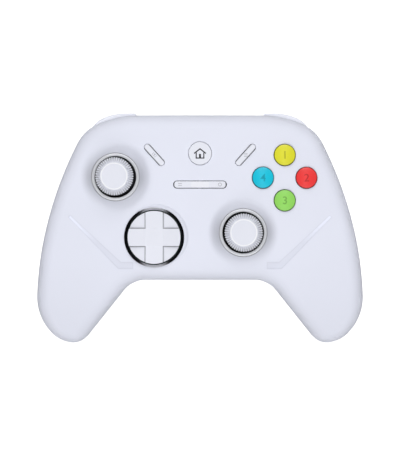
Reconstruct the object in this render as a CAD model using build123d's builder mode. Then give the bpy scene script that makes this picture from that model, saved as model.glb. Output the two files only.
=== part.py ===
from build123d import *
import math
import os

# A wireless gamepad, in millimetres. Z is up from the surface it rests on, Y points away from the
# player, and X points to the player's right. The origin is under the middle of the plan.

# Body seen from above
body_half_width = 76.9
body_top_y = 53.0
body_low_y = 54.0
# Right half of the outline, from the top edge round the grip to the middle of the lower edge,
# as shares of the half width and of the reach up or down
outline_arc_shares = (
    (0.364, 1.0),
    (0.611, 0.932),
    (0.746, 0.755),
    (0.965, -0.176),
    (1.0, -0.574),
    (0.918, -0.911),
    (0.793, -1.0),
    (0.697, -0.942),
)
grip_inner_end_shares = (0.476, -0.548)
grip_bay_corner_shares = (0.351, -0.441)

# Face and back as curved surfaces
face_z = 44.0
crown_radius = 520.0
fall_start_y = -4.0
fall_radius = 95.0
back_depth = 12.5
palm_low_z = 0.8
palm_x = 59.0
palm_y = -32.0
palm_lean_share = 0.10
palm_half_width = 15.0
palm_half_length = 36.0
spine_blend = 8.0
face_rim_radius = 7.0
back_rim_radius = 7.5
wall = 2.0
surface_columns = 19
surface_rows = 15
surface_tolerance = 0.05
overrun = 10.0

# Parting of the front and rear shells
parting_z = 25.0
parting_bend_y = -17.5
parting_fall_radius = 62.0
parting_fall_angle = 50.0

# Battery bulge on the back
bulge_width = 54.0
bulge_length = 34.0
bulge_corner_radius = 8.0
bulge_y = 5.0
bulge_height = 17.0
bulge_draft = 14.0
bulge_rim_radius = 2.5

# Screws that join the shells
screw_head_radius = 2.5
screw_head_height = 1.9
screw_shank_radius = 1.25
screw_grip = 8.0
screw_socket_radius = 1.1
screw_socket_depth = 1.1
screw_boss_radius = 4.0
screw_well_radius = 2.9
screw_seat_thickness = 3.0
screw_clearance = 0.15
upper_screw_x = 53.6
upper_screw_y = 34.8
middle_screw_x = 41.0
middle_screw_y = -8.0
tip_screw_x = 62.0
tip_screw_y = -44.0

# Main board
board_thickness = 1.6
board_half_width = 56.0
board_low_y = -17.0
board_top_y = 37.4
board_tongue_half_width = 9.0
board_tongue_y = 49.0
board_corner_radius = 3.0
board_waist_half_width = 47.0
board_waist_y = 4.0
board_pillar_radius = 2.5
board_pillar_x = 6.0
board_pillar_y = 41.0
board_outer_pillar_x = 50.0
board_outer_pillar_y = 13.0
board_low_pillar_x = 33.0
board_low_pillar_y = -13.5

# Thumb sticks: places on the face, and the ring let into the shell round each
left_stick_x = -39.2
left_stick_y = 24.1
right_stick_x = 20.0
right_stick_y = -1.7
stick_ring_drop = 0.8
stick_ring_radius = 11.25
stick_ring_bore = 9.6
stick_ring_neck_radius = 10.4
stick_ring_flange = 1.2
stick_ring_height = 2.0
stick_ring_chamfer = 0.3
stick_dish_radius = 16.4
stick_dish_rise = 2.3
stick_dish_round = 6.0
stick_dish_step = 0.25
stick_collar_radius = 14.6
stick_collar_depth = 3.0
seat_clearance = 0.05

# Thumb stick mechanism, measured from the point the stick swings about
stick_pivot_rise = 6.4
stick_module_side = 11.6
stick_module_wall = 0.6
stick_module_rise = 5.4
stick_module_mouth_radius = 4.9
stick_bearing_radius = 0.85
stick_trunnion_radius = 0.8
stick_sensor_width = 7.0
stick_sensor_thickness = 2.8
stick_sensor_height = 3.0
click_dome_radius = 1.8
click_dome_height = 0.4
click_gap = 0.1
click_travel = 0.4
plunger_thickness = 0.6
plunger_span = 10.0
plunger_width = 4.4
plunger_rise = 1.5
lower_yoke_length = 8.2
lower_yoke_width = 3.8
lower_yoke_rise = 1.9
lower_yoke_drop = 1.5
lower_yoke_slot_length = 4.6
lower_yoke_slot_width = 2.4
upper_yoke_radius = 4.2
upper_yoke_bore = 3.5
upper_yoke_width = 3.2
upper_yoke_slot_length = 5.6
upper_yoke_slot_width = 2.5
stem_radius = 1.0
stem_drop = 1.2
stem_shoulder_rise = 4.9
stem_head_radius = 1.8
stem_head_rise = 14.0
stem_pin_radius = 0.5
stem_pin_length = 3.6
stem_pin_clearance = 0.06
skirt_radius = 11.3
skirt_thickness = 1.0
skirt_angle = 80.0
cap_neck_radius = 4.0
cap_rise = 20.0
cap_height = 3.8
cap_radius = 8.55
cap_underside_radius = 6.8
cap_rim_height = 1.1
cap_crown_radius = 6.1
cap_dish_depth = 0.7
cap_lip = 0.25

# Direction pad
dpad_x = -21.2
dpad_y = -3.9
dpad_ring_radius = 13.7
dpad_ring_bore = 12.7
dpad_ring_neck_radius = 13.2
dpad_ring_flange = 1.7
dpad_ring_height = 3.2
dpad_ring_round = 0.45
dpad_dish_radius = 16.2
dpad_dish_rise = 1.3
dpad_dish_step = 0.5
dpad_collar_radius = 16.0
dpad_collar_depth = 3.6
dpad_disc_radius = 12.2
dpad_disc_drop = 2.7
dpad_disc_rim = 1.8
dpad_disc_middle = 0.9
dpad_arm_width = 8.2
dpad_arm_middle = 1.7
dpad_arm_end = 3.7
dpad_pivot_drop = 2.0
dpad_pin_radius = 0.8
dpad_pin_clearance = 0.06
dpad_block_side = 5.2
dpad_block_thickness = 1.6
dpad_ear_gap = 0.3
dpad_ear_thickness = 1.2
dpad_ear_width = 3.0
dpad_ear_reach = 1.3
dpad_post_radius = 4.8
dpad_post_drop = 2.1
dpad_foot_place_radius = 8.4
dpad_foot_radius = 1.3
dpad_travel = 0.7

# Rubber mats under the direction pad and the face buttons
mat_thickness = 0.8
mat_margin = 0.2
mat_dome_low_radius = 3.0
mat_dome_top_radius = 2.3
mat_dome_height = 2.6
mat_gap = 0.1

# Face buttons
face_buttons_x = 39.2
face_buttons_y = 23.7
face_button_spread_x = 10.1
face_button_spread_y = 10.5
face_button_radius = 5.0
face_button_gap = 0.2
face_button_rise = 2.1
face_button_dome = 1.2
face_button_travel = 1.6
face_button_flange_radius = 6.1
face_button_flange = 1.0
face_collar_radius = 6.4
face_collar_drop = 5.8
face_flange_gap = 0.15
face_button_leg_radius = 2.2

# Small buttons beside the centre
small_buttons_x = 21.1
small_buttons_y = 34.2
pill_length = 12.3
pill_width = 2.95
pill_angle = 48.0
pill_rise = 0.5
home_button_y = 34.9
home_button_radius = 5.3
home_button_rise = 0.6
small_button_gap = 0.2
small_button_travel = 0.6
small_button_flange = 1.0
small_button_flange_margin = 0.8
small_button_depth = 3.6
small_button_leg_radius = 1.5
small_button_round = 0.3
function_bar_y = 20.5
function_bar_length = 24.2
function_bar_width = 3.1
function_bar_corner_radius = 1.5
function_bar_rise = 0.5
function_bar_height = 4.6
function_bar_gap = 0.3
function_bar_pin_radius = 0.8
function_bar_pin_drop = 3.4
function_bar_ear_thickness = 1.4
function_bar_ear_width = 3.4
function_bar_leg_x = 8.0
function_bar_leg_radius = 1.3
function_bar_travel = 0.4

# Small switches on the main board
switch_side = 4.4
switch_height = 3.4
switch_nub_radius = 1.1
switch_nub_height = 0.5
switch_gap = 0.1
side_switch_nub_radius = 0.8

# Shoulder bumpers
bumper_front_y = 54.0
bumper_inner_x = 29.6
bumper_flat_x = 35.0
bumper_shoulder_x = 45.4
bumper_shoulder_y = 51.75
bumper_outer_x = 50.4
bumper_outer_y = 47.4
bumper_back_x = 48.4
bumper_back_y = 45.2
bumper_nose = 1.2
bumper_low_z = 27.4
bumper_height = 8.8
bumper_wall = 2.2
bumper_gap = 0.4
bumper_round = 0.9
bumper_pivot_x = 27.0
bumper_pivot_y = 46.4
bumper_pivot_radius = 1.0
bumper_pivot_clearance = 0.06
bumper_boss_radius = 2.4
bumper_arm_low_z = 29.2
bumper_arm_height = 4.6
bumper_skin = 1.6
bumper_finger_x = 46.0
bumper_finger_width = 2.0
bumper_finger_low_z = 28.4
bumper_press_angle = 2.0

# Triggers
trigger_inner_x = 30.2
trigger_outer_x = 49.0
trigger_pivot_y = 41.0
trigger_pivot_z = 25.0
trigger_hub_radius = 3.0
trigger_top_y = 52.4
trigger_top_z = 26.4
trigger_waist_y = 51.2
trigger_waist_z = 15.5
trigger_tip_y = 53.3
trigger_tip_z = 4.0
trigger_tip_thickness = 1.9
trigger_tip_slant = 0.5
trigger_belly_y = 48.2
trigger_belly_z = 12.5
trigger_root_y = 44.2
trigger_root_z = 20.4
trigger_wall = 2.0
trigger_arm_inner_x = 34.0
trigger_arm_outer_x = 44.0
trigger_arm_thickness = 2.2
trigger_shoulder_y = 44.6
trigger_outline_gap = 0.3
trigger_window_back_y = 37.0
trigger_window_gap = 0.5
trigger_pin_radius = 1.0
trigger_pin_clearance = 0.08
trigger_spring_room = 3.5
spring_wire_radius = 0.35
spring_coil_radius = 2.1
spring_turns = 4
spring_pitch = 1.15
sensor_board_thickness = 1.0
sensor_board_length = 5.4
sensor_board_height = 5.6

# Frame that carries the trigger pins
frame_half_length = 49.0
frame_back_y = 32.4
frame_width = 3.4
frame_low_z = 16.2
frame_height = 3.2
frame_ear_root = 1.2
frame_ear_thickness = 2.2
frame_ear_gap = 0.5
frame_pillar_radius = 2.4
frame_inner_pillar_x = 14.0
frame_outer_pillar_x = 40.0

# Rumble motors
motor_x = 57.0
motor_z = 16.5
motor_radius = 6.0
motor_low_y = -32.0
motor_length = 20.0
motor_shaft_radius = 1.0
motor_shaft_clearance = 0.06
motor_shaft_depth = 4.0
weight_radius = 8.2
weight_hub_radius = 2.6
weight_thickness = 6.5
weight_gap = 0.4
cradle_width = 15.0
cradle_thickness = 2.0
cradle_inset = 3.0

# Battery
battery_width = 45.0
battery_length = 26.0
battery_height = 9.0
battery_corner_radius = 3.0

# Charging port at the top edge and headset socket at the lower edge
port_width = 8.9
port_height = 3.2
port_length = 7.4
port_wall = 0.35
port_setback = 0.8
port_tongue_width = 6.6
port_tongue_thickness = 0.7
port_corner_radius = 1.4
port_back_thickness = 0.8
port_window_gap = 0.35
jack_width = 6.4
jack_height = 5.2
jack_length = 12.0
jack_nose_radius = 2.9
jack_bore_radius = 1.75
jack_bore_depth = 12.0
jack_nose_length = 2.4
jack_setback = 0.4
jack_window_gap = 0.2

# Shallow channel along each grip, as shares of the body's half width and lower reach
channel_outer_shares = ((0.793, 0.104), (0.491, -0.341), (0.404, -0.341))
channel_inner_shares = ((0.404, -0.287), (0.476, -0.287), (0.782, 0.118))
channel_outer_round = 1.2
channel_inner_round = 2.0
channel_depth = 0.5


def face_height(x, y):
    """Height of the face: level in the middle, crowned across, falling towards the grip tips."""
    fall = max(0.0, fall_start_y - y)
    return face_z - x * x / (2 * crown_radius) - fall * fall / (2 * fall_radius)


def back_height(x, y):
    """Height of the back: level along the spine, with a rounded palm hanging down in each grip."""
    across = math.hypot(x, spine_blend) - spine_blend
    palm_centre = math.hypot(palm_x, spine_blend) - spine_blend - palm_lean_share * (y - palm_y)
    across_share = (across - palm_centre) / palm_half_width
    along_share = (y - palm_y) / palm_half_length
    hollow_share = 1 - 1 / ((1 + across_share**2) * (1 + along_share**2))
    return palm_low_z + back_depth * hollow_share


def parting_height(y):
    """Height of the joint between the two shells at a place along the body."""
    reach = max(0.0, parting_bend_y - y)
    return parting_z - parting_fall_radius + math.sqrt(parting_fall_radius**2 - reach**2)


def outline_point(shares):
    """Point of the outline from its shares of the half width and of the reach up or down."""
    across_share, along_share = shares
    reach = body_top_y if along_share > 0 else body_low_y
    return (body_half_width * across_share, reach * along_share)


def outline_face(inset):
    """The body's outline seen from above, drawn in by the inset."""
    bay_corner = outline_point(grip_bay_corner_shares)
    with BuildSketch() as outline:
        with BuildLine():
            edge = Line((0, body_top_y), outline_point(outline_arc_shares[0]))
            for shares in outline_arc_shares[1:]:
                edge = TangentArc(edge @ 1, outline_point(shares), tangent=edge % 1)
            edge = Line(edge @ 1, outline_point(grip_inner_end_shares))
            edge = TangentArc(edge @ 1, bay_corner, tangent=edge % 1)
            Line(edge @ 1, (0, bay_corner[1]))
            mirror(about=Plane.YZ)
        make_face()
        if inset > 0:
            offset(amount=-inset, kind=Kind.INTERSECTION)
    return outline.sketch


def curved_face(height, lift):
    """A smooth face through a height formula, wider than the body all round."""
    half_x = body_half_width + overrun
    low_y = -body_low_y - overrun
    span_y = body_top_y + body_low_y + 2 * overrun
    grid = []
    for column in range(surface_columns):
        x = -half_x + 2 * half_x * column / (surface_columns - 1)
        row_places = [low_y + span_y * row / (surface_rows - 1) for row in range(surface_rows)]
        grid.append([Vector(x, y, height(x, y) + lift) for y in row_places])
    return Face.make_surface_from_array_of_points(grid, tol=surface_tolerance, min_deg=3, max_deg=5)


def body_solid(inset):
    """The whole body as one solid, drawn in by the inset on every side."""
    with BuildPart() as body:
        with BuildSketch(Plane.XY):
            add(outline_face(inset))
        extrude(amount=face_z + overrun)
        extrude(curved_face(face_height, -inset), amount=face_z, dir=(0, 0, 1), mode=Mode.SUBTRACT)
        extrude(curved_face(back_height, inset), amount=face_z, dir=(0, 0, -1), mode=Mode.SUBTRACT)
        curved = body.faces().filter_by(GeomType.BSPLINE).sort_by(Axis.Z)
        fillet(curved[-1].edges(), radius=face_rim_radius - inset)
        curved = body.faces().filter_by(GeomType.BSPLINE).sort_by(SortBy.AREA)
        lower = curved[-2:].sort_by(Axis.Z)[0]
        fillet(lower.edges(), radius=back_rim_radius - inset)
    return body.part


def bulge_solid(inset):
    """The battery bulge with its drafted sides, drawn in by the inset."""
    with BuildPart() as bulge:
        with BuildSketch(Plane((0, bulge_y, inset))):
            RectangleRounded(
                bulge_width - 2 * inset,
                bulge_length - 2 * inset,
                bulge_corner_radius - inset,
            )
        extrude(amount=bulge_height - inset, taper=-bulge_draft)
        fillet(bulge.faces().sort_by(Axis.Z)[0].edges(), radius=bulge_rim_radius - inset / 2)
    return bulge.part


def post(x, y, low, high, radius, mode=Mode.ADD):
    """An upright round post between two heights."""
    with BuildSketch(Plane((x, y, low))) as disc:
        Circle(radius)
    extrude(disc.sketch, amount=high - low, mode=mode)


def block(x_range, y_range, z_range, mode=Mode.ADD):
    """A rectangular block between two places along each axis."""
    centre = (sum(x_range) / 2, sum(y_range) / 2, z_range[0])
    with BuildSketch(Plane(centre)) as base:
        Rectangle(x_range[1] - x_range[0], y_range[1] - y_range[0])
    extrude(base.sketch, amount=z_range[1] - z_range[0], mode=mode)


def rod_x(x_range, y, z, radius, mode=Mode.ADD):
    """A round rod along X."""
    with BuildSketch(Plane(origin=(x_range[0], y, z), z_dir=(1, 0, 0))) as disc:
        Circle(radius)
    extrude(disc.sketch, amount=x_range[1] - x_range[0], mode=mode)


def rod_y(x, y_range, z, radius, mode=Mode.ADD):
    """A round rod along Y."""
    with BuildSketch(Plane(origin=(x, y_range[0], z), z_dir=(0, 1, 0))) as disc:
        Circle(radius)
    extrude(disc.sketch, amount=y_range[1] - y_range[0], mode=mode)


def pill_sketch(x, y, z, angle, margin):
    """A slot-shaped sketch, grown by a margin all round."""
    with BuildSketch(Plane((x, y, z))) as pill:
        SlotOverall(pill_length + 2 * margin, pill_width + 2 * margin, rotation=angle)
    return pill.sketch


def bar_sketch(z, margin):
    """The function bar's rounded outline, grown by a margin all round."""
    with BuildSketch(Plane((0, function_bar_y, z))) as bar:
        RectangleRounded(
            function_bar_length + 2 * margin,
            function_bar_width + 2 * margin,
            function_bar_corner_radius + margin,
        )
    return bar.sketch


def dish(x, y, floor_z, floor_radius, dish_radius, rise):
    """Cutter for a round dish in the face, flat in the middle and curving up to its edge."""
    with BuildSketch(Plane(origin=(x, y, 0), x_dir=(1, 0, 0), z_dir=(0, -1, 0))) as profile:
        with BuildLine():
            floor = Line((0, floor_z), (floor_radius, floor_z))
            side = TangentArc(floor @ 1, (dish_radius, floor_z + rise), tangent=floor % 1)
            Polyline(side @ 1, (dish_radius, face_z + overrun), (0, face_z + overrun), (0, floor_z))
        make_face()
    revolve(profile.sketch, axis=Axis((x, y, 0), (0, 0, 1)))


def save(piece, name):
    """Label a finished piece and write it as its own file."""
    piece.label = name
    export_step(piece, "parts/" + name + ".step")


def ring_height(x, y):
    """Height of a stick ring's top, a little below the face round it."""
    return face_height(x, y) - stick_ring_drop


def bumper_sketch(z, margin):
    """Plan of the right bumper, grown by a margin all round."""
    with BuildSketch(Plane.XY.offset(z)) as plan:
        with BuildLine():
            inner = Line((bumper_inner_x, bumper_back_y),
                         (bumper_inner_x, bumper_front_y - bumper_nose))
            corner = TangentArc(inner @ 1, (bumper_inner_x + bumper_nose, bumper_front_y),
                                tangent=inner % 1)
            front = Line(corner @ 1, (bumper_flat_x, bumper_front_y))
            shoulder = TangentArc(front @ 1, (bumper_shoulder_x, bumper_shoulder_y),
                                  tangent=front % 1)
            outer = TangentArc(shoulder @ 1, (bumper_outer_x, bumper_outer_y),
                               tangent=shoulder % 1)
            Polyline(outer @ 1, (bumper_back_x, bumper_back_y), inner @ 0)
        make_face()
        if margin != 0:
            offset(amount=margin, kind=Kind.INTERSECTION)
    return plan.sketch


def trigger_sketch(x, shift):
    """Side profile of a trigger, moved back and down by the shift."""
    with BuildSketch(Plane.YZ.offset(x)) as profile:
        with BuildLine():
            top = Line((trigger_pivot_y - shift, trigger_pivot_z + trigger_hub_radius - shift),
                       (trigger_top_y - shift, trigger_top_z - shift))
            front = ThreePointArc(top @ 1, (trigger_waist_y - shift, trigger_waist_z - shift),
                                  (trigger_tip_y - shift, trigger_tip_z - shift))
            tip = Line(front @ 1, (trigger_tip_y - trigger_tip_thickness - shift,
                                   trigger_tip_z - trigger_tip_slant - shift))
            belly = ThreePointArc(tip @ 1, (trigger_belly_y - shift, trigger_belly_z - shift),
                                  (trigger_root_y - shift, trigger_root_z - shift))
            Polyline(belly @ 1,
                     (trigger_pivot_y - shift, trigger_pivot_z - trigger_hub_radius - shift),
                     top @ 0)
        make_face()
        with Locations((trigger_pivot_y - shift, trigger_pivot_z - shift)):
            Circle(trigger_hub_radius)
    return profile.sketch


os.makedirs("parts", exist_ok=True)

# Heights and places worked out from the sizes above
board_top_z = parting_z + board_thickness
stick_pivot_z = board_top_z + stick_pivot_rise
switch_top_z = board_top_z + switch_height + switch_nub_height
mat_top_z = board_top_z + mat_thickness + mat_dome_height
dpad_ring_z = face_height(dpad_x, dpad_y)
dpad_disc_z = dpad_ring_z - dpad_disc_drop
dpad_pivot_z = dpad_disc_z - dpad_pivot_drop
face_collar_z = face_z - face_collar_drop
function_bar_top_z = face_height(0, function_bar_y) + function_bar_rise
function_bar_pin_z = function_bar_top_z - function_bar_pin_drop
bumper_boss_z = bumper_arm_low_z + bumper_arm_height + bumper_gap
bumper_reach = bumper_finger_x - bumper_pivot_x
bumper_travel = bumper_reach * math.sin(math.radians(bumper_press_angle))
frame_ear_inner_x = trigger_arm_inner_x - frame_ear_gap - frame_ear_thickness
frame_ear_outer_x = trigger_arm_outer_x + frame_ear_gap
sticks = (
    ("left", left_stick_x, left_stick_y),
    ("right", right_stick_x, right_stick_y),
)
face_buttons = (
    ("north", face_buttons_x, face_buttons_y + face_button_spread_y),
    ("east", face_buttons_x + face_button_spread_x, face_buttons_y),
    ("south", face_buttons_x, face_buttons_y - face_button_spread_y),
    ("west", face_buttons_x - face_button_spread_x, face_buttons_y),
)
screws = [
    (side * x, y)
    for side in (-1, 1)
    for x, y in (
        (upper_screw_x, upper_screw_y),
        (middle_screw_x, middle_screw_y),
        (tip_screw_x, tip_screw_y),
    )
]
board_pillars = [
    (side * x, y)
    for side in (-1, 1)
    for x, y in (
        (board_pillar_x, board_pillar_y),
        (board_outer_pillar_x, board_outer_pillar_y),
        (board_low_pillar_x, board_low_pillar_y),
    )
]
frame_pillars = [
    (side * x, frame_back_y + frame_width / 2)
    for side in (-1, 1)
    for x in (frame_inner_pillar_x, frame_outer_pillar_x)
]
ear_near = function_bar_width / 2 + function_bar_gap
ear_far = ear_near + function_bar_ear_thickness
function_bar_ears = (
    (function_bar_y + ear_near, function_bar_y + ear_far),
    (function_bar_y - ear_far, function_bar_y - ear_near),
)

# Saddles in the rear shell that hold the rumble motors
with BuildPart() as saddles:
    for side in (-1, 1):
        for y in (motor_low_y + cradle_inset, motor_low_y + motor_length - cradle_inset):
            block(
                (side * motor_x - cradle_width / 2, side * motor_x + cradle_width / 2),
                (y - cradle_thickness / 2, y + cradle_thickness / 2),
                (0, motor_z),
            )
        motor_reach = (motor_low_y - overrun, motor_low_y + motor_length + overrun)
        rod_y(side * motor_x, motor_reach, motor_z, motor_radius, Mode.SUBTRACT)

# Posts, collars and ears that stand inside the shells
with BuildPart() as supports:
    add(saddles.part)
    for x, y in screws:
        post(x, y, 0, face_z + overrun, screw_boss_radius)
    for x, y in board_pillars:
        post(x, y, 0, parting_z, board_pillar_radius)
    for x, y in frame_pillars:
        post(x, y, 0, frame_low_z, frame_pillar_radius)
    for side, x, y in sticks:
        post(x, y, ring_height(x, y) - stick_collar_depth, face_z + overrun, stick_collar_radius)
    for place, x, y in face_buttons:
        post(x, y, face_collar_z, face_z + overrun, face_collar_radius)
    post(dpad_x, dpad_y, dpad_ring_z - dpad_collar_depth, face_z + overrun, dpad_collar_radius)
    for side in (-1, 1):
        x = side * bumper_pivot_x
        post(x, bumper_pivot_y, bumper_boss_z, face_z + overrun, bumper_boss_radius)
        post(x, bumper_pivot_y, bumper_arm_low_z, bumper_boss_z, bumper_pivot_radius)
    for ear_y in function_bar_ears:
        block((-function_bar_ear_width / 2, function_bar_ear_width / 2), ear_y,
              (function_bar_pin_z - function_bar_ear_width / 2, face_z + overrun))

# Both shells together, before they are parted
with BuildPart() as cavity:
    add(body_solid(wall))
    add(bulge_solid(wall))
    add(supports.part, mode=Mode.SUBTRACT)
with BuildPart() as shells:
    add(body_solid(0))
    add(bulge_solid(0))
    add(cavity.part, mode=Mode.SUBTRACT)

# Everything above the joint between the shells
with BuildPart() as upper_side:
    fall_low_y = parting_bend_y - parting_fall_radius * math.sin(math.radians(parting_fall_angle))
    with BuildSketch(Plane.YZ):
        with BuildLine():
            level = Line((body_top_y + overrun, parting_z), (parting_bend_y, parting_z))
            slope = TangentArc(level @ 1, (fall_low_y, parting_height(fall_low_y)),
                               tangent=level % 1)
            Polyline(slope @ 1, (fall_low_y, face_z + overrun),
                     (body_top_y + overrun, face_z + overrun), level @ 0)
        make_face()
    extrude(amount=body_half_width + overrun, both=True)

# Windows in the top corners for the bumpers and the triggers
with BuildPart() as shoulder_windows:
    at_rest = extrude(bumper_sketch(bumper_low_z - bumper_gap, bumper_gap),
                      amount=bumper_height + 2 * bumper_gap)
    bumper_hinge = Axis((bumper_pivot_x, bumper_pivot_y, 0), (0, 0, -1))
    add(at_rest.rotate(bumper_hinge, bumper_press_angle))
    block((trigger_inner_x - trigger_window_gap, trigger_outer_x + trigger_window_gap),
          (trigger_window_back_y, body_top_y + overrun), (0, bumper_low_z))
    mirror(about=Plane.YZ)

# Shallow channels along the grips
with BuildPart() as channel_cut:
    outer_points = [outline_point(shares) for shares in channel_outer_shares]
    inner_points = [outline_point(shares) for shares in channel_inner_shares]
    with BuildSketch(Plane.XY.offset(parting_z)) as channel_plan:
        with BuildLine():
            Polyline(outer_points + inner_points, close=True)
        make_face()
        outer_bend = channel_plan.vertices().sort_by_distance(outer_points[1])[0]
        fillet(outer_bend, channel_outer_round)
        inner_bend = channel_plan.vertices().sort_by_distance(inner_points[1])[0]
        fillet(inner_bend, channel_inner_round)
        mirror(about=Plane.YZ)
    extrude(amount=face_z)
    add(body_solid(channel_depth), mode=Mode.SUBTRACT)

# Openings for the charging port and the headset socket
port_z = board_top_z + port_height / 2
jack_z = board_top_z + jack_height / 2
jack_nose_y = outline_point(grip_bay_corner_shares)[1] + jack_setback
with BuildPart() as socket_windows:
    with BuildSketch(Plane(origin=(0, body_top_y - port_length, port_z), x_dir=(1, 0, 0),
                           z_dir=(0, 1, 0))):
        RectangleRounded(port_width + 2 * port_window_gap, port_height + 2 * port_window_gap,
                         port_corner_radius + port_window_gap)
    extrude(amount=port_length + overrun)
    rod_y(0, (jack_nose_y - overrun, jack_nose_y + jack_nose_length), jack_z,
          jack_nose_radius + jack_window_gap)

# Dishes and openings in the face
with BuildPart() as face_openings:
    for side, x, y in sticks:
        ring_z = ring_height(x, y)
        seat_radius = stick_ring_radius + seat_clearance
        dish(x, y, ring_z - stick_dish_step, seat_radius, stick_dish_radius, stick_dish_rise)
        post(x, y, ring_z - stick_ring_flange, face_z, seat_radius)
        post(x, y, parting_z, face_z, stick_ring_neck_radius + seat_clearance)
    seat_radius = dpad_ring_radius + seat_clearance
    dish(dpad_x, dpad_y, dpad_ring_z - dpad_dish_step, seat_radius, dpad_dish_radius,
         dpad_dish_rise)
    post(dpad_x, dpad_y, dpad_ring_z - dpad_ring_flange, face_z, seat_radius)
    post(dpad_x, dpad_y, parting_z, face_z, dpad_ring_neck_radius + seat_clearance)
    for place, x, y in face_buttons:
        post(x, y, parting_z, face_z + overrun, face_button_radius + face_button_gap)
    for side in (-1, 1):
        pill = pill_sketch(side * small_buttons_x, small_buttons_y, parting_z,
                           side * pill_angle, small_button_gap)
        extrude(pill, amount=face_z)
    post(0, home_button_y, parting_z, face_z + overrun, home_button_radius + small_button_gap)
    extrude(bar_sketch(parting_z, function_bar_gap), amount=face_z)
    rod_y(0, (function_bar_ears[1][0], function_bar_ears[0][1]), function_bar_pin_z,
          function_bar_pin_radius + seat_clearance)

# Front shell: the face with its collars, channels and openings
with BuildPart() as front_shell:
    add(shells.part)
    add(upper_side.part, mode=Mode.INTERSECT)
    add([shoulder_windows.part, channel_cut.part, socket_windows.part, face_openings.part],
        mode=Mode.SUBTRACT)
    for x, y in screws:
        post(x, y, parting_height(y) - overrun, parting_height(y) + screw_grip,
             screw_shank_radius, Mode.SUBTRACT)
    for side, x, y in sticks:
        dish_side = front_shell.faces().filter_by(GeomType.TORUS).sort_by_distance(
            (x, y, ring_height(x, y)))[0]
        fillet(dish_side.edges().filter_by(GeomType.BSPLINE), stick_dish_round)
save(front_shell.part, "front_shell")

# Rear shell: the palms, the battery bulge and the screw wells
with BuildPart() as screw_wells:
    for x, y in screws:
        seat_z = parting_height(y) - screw_seat_thickness
        post(x, y, 0, seat_z, screw_well_radius)
        post(x, y, seat_z, parting_z, screw_shank_radius + screw_clearance)
with BuildPart() as rear_shell:
    add(shells.part)
    add(upper_side.part, mode=Mode.SUBTRACT)
    add([shoulder_windows.part, screw_wells.part], mode=Mode.SUBTRACT)
save(rear_shell.part, "rear_shell")

# Screws, driven in from the back
with BuildPart() as shell_screws:
    for x, y in screws:
        seat_z = parting_height(y) - screw_seat_thickness
        post(x, y, seat_z - screw_head_height, seat_z, screw_head_radius)
        post(x, y, seat_z, parting_height(y) + screw_grip, screw_shank_radius)
        post(x, y, seat_z - screw_head_height, seat_z - screw_head_height + screw_socket_depth,
             screw_socket_radius, Mode.SUBTRACT)
save(shell_screws.part, "shell_screws")

# Main board, resting on the rear shell's pillars
with BuildPart() as main_board:
    with BuildSketch(Plane.XY.offset(parting_z)) as board_plan:
        with BuildLine():
            Polyline(
                (0, board_tongue_y),
                (board_tongue_half_width, board_tongue_y),
                (board_tongue_half_width, board_top_y),
                (board_half_width, board_top_y),
                (board_half_width, board_waist_y),
                (board_waist_half_width, board_low_y),
                (0, board_low_y),
            )
            mirror(about=Plane.YZ)
        make_face()
        corners = board_plan.vertices().filter_by(lambda corner: corner.X != 0)
        fillet(corners, radius=board_corner_radius)
    extrude(amount=board_thickness)
    for x, y in screws:
        post(x, y, parting_z, board_top_z, screw_boss_radius + seat_clearance, Mode.SUBTRACT)
save(main_board.part, "main_board")

# Charging port on the board's tongue
with BuildPart() as charging_port:
    port_front_y = body_top_y - port_setback
    with BuildSketch(Plane(origin=(0, port_front_y, port_z), x_dir=(1, 0, 0), z_dir=(0, -1, 0))):
        RectangleRounded(port_width, port_height, port_corner_radius)
    extrude(amount=port_length)
    with BuildSketch(Plane(origin=(0, port_front_y, port_z), x_dir=(1, 0, 0), z_dir=(0, -1, 0))):
        RectangleRounded(port_width - 2 * port_wall, port_height - 2 * port_wall,
                         port_corner_radius - port_wall)
        Rectangle(port_tongue_width, port_tongue_thickness, mode=Mode.SUBTRACT)
    extrude(amount=port_length - port_back_thickness, mode=Mode.SUBTRACT)
save(charging_port.part, "charging_port")

# Headset socket at the lower edge
with BuildPart() as headset_socket:
    body_start_y = jack_nose_y + jack_nose_length
    block((-jack_width / 2, jack_width / 2), (body_start_y, body_start_y + jack_length),
          (board_top_z, board_top_z + jack_height))
    rod_y(0, (jack_nose_y, body_start_y), jack_z, jack_nose_radius - jack_window_gap)
    rod_y(0, (jack_nose_y, jack_nose_y + jack_bore_depth), jack_z, jack_bore_radius,
          Mode.SUBTRACT)
save(headset_socket.part, "headset_socket")

# Battery in the bulge
with BuildPart() as battery_cell:
    with BuildSketch(Plane((0, bulge_y, wall))):
        RectangleRounded(battery_width, battery_length, battery_corner_radius)
    extrude(amount=battery_height)
save(battery_cell.part, "battery_cell")

# Stick rings, mechanisms and caps: each is made about its own centre, and placed at the end.
# The mechanism's centre is the point that the stick swings about.
side_plane = Plane(origin=(0, 0, 0), x_dir=(1, 0, 0), z_dir=(0, -1, 0))

with BuildPart() as stick_ring:
    with BuildSketch(side_plane):
        with BuildLine():
            Polyline(
                (stick_ring_bore, -stick_ring_chamfer),
                (stick_ring_bore + stick_ring_chamfer, 0),
                (stick_ring_radius - stick_ring_chamfer, 0),
                (stick_ring_radius, -stick_ring_chamfer),
                (stick_ring_radius, -stick_ring_flange),
                (stick_ring_neck_radius, -stick_ring_flange),
                (stick_ring_neck_radius, -stick_ring_height),
                (stick_ring_bore, -stick_ring_height),
                close=True,
            )
        make_face()
    revolve(axis=Axis.Z)

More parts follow.
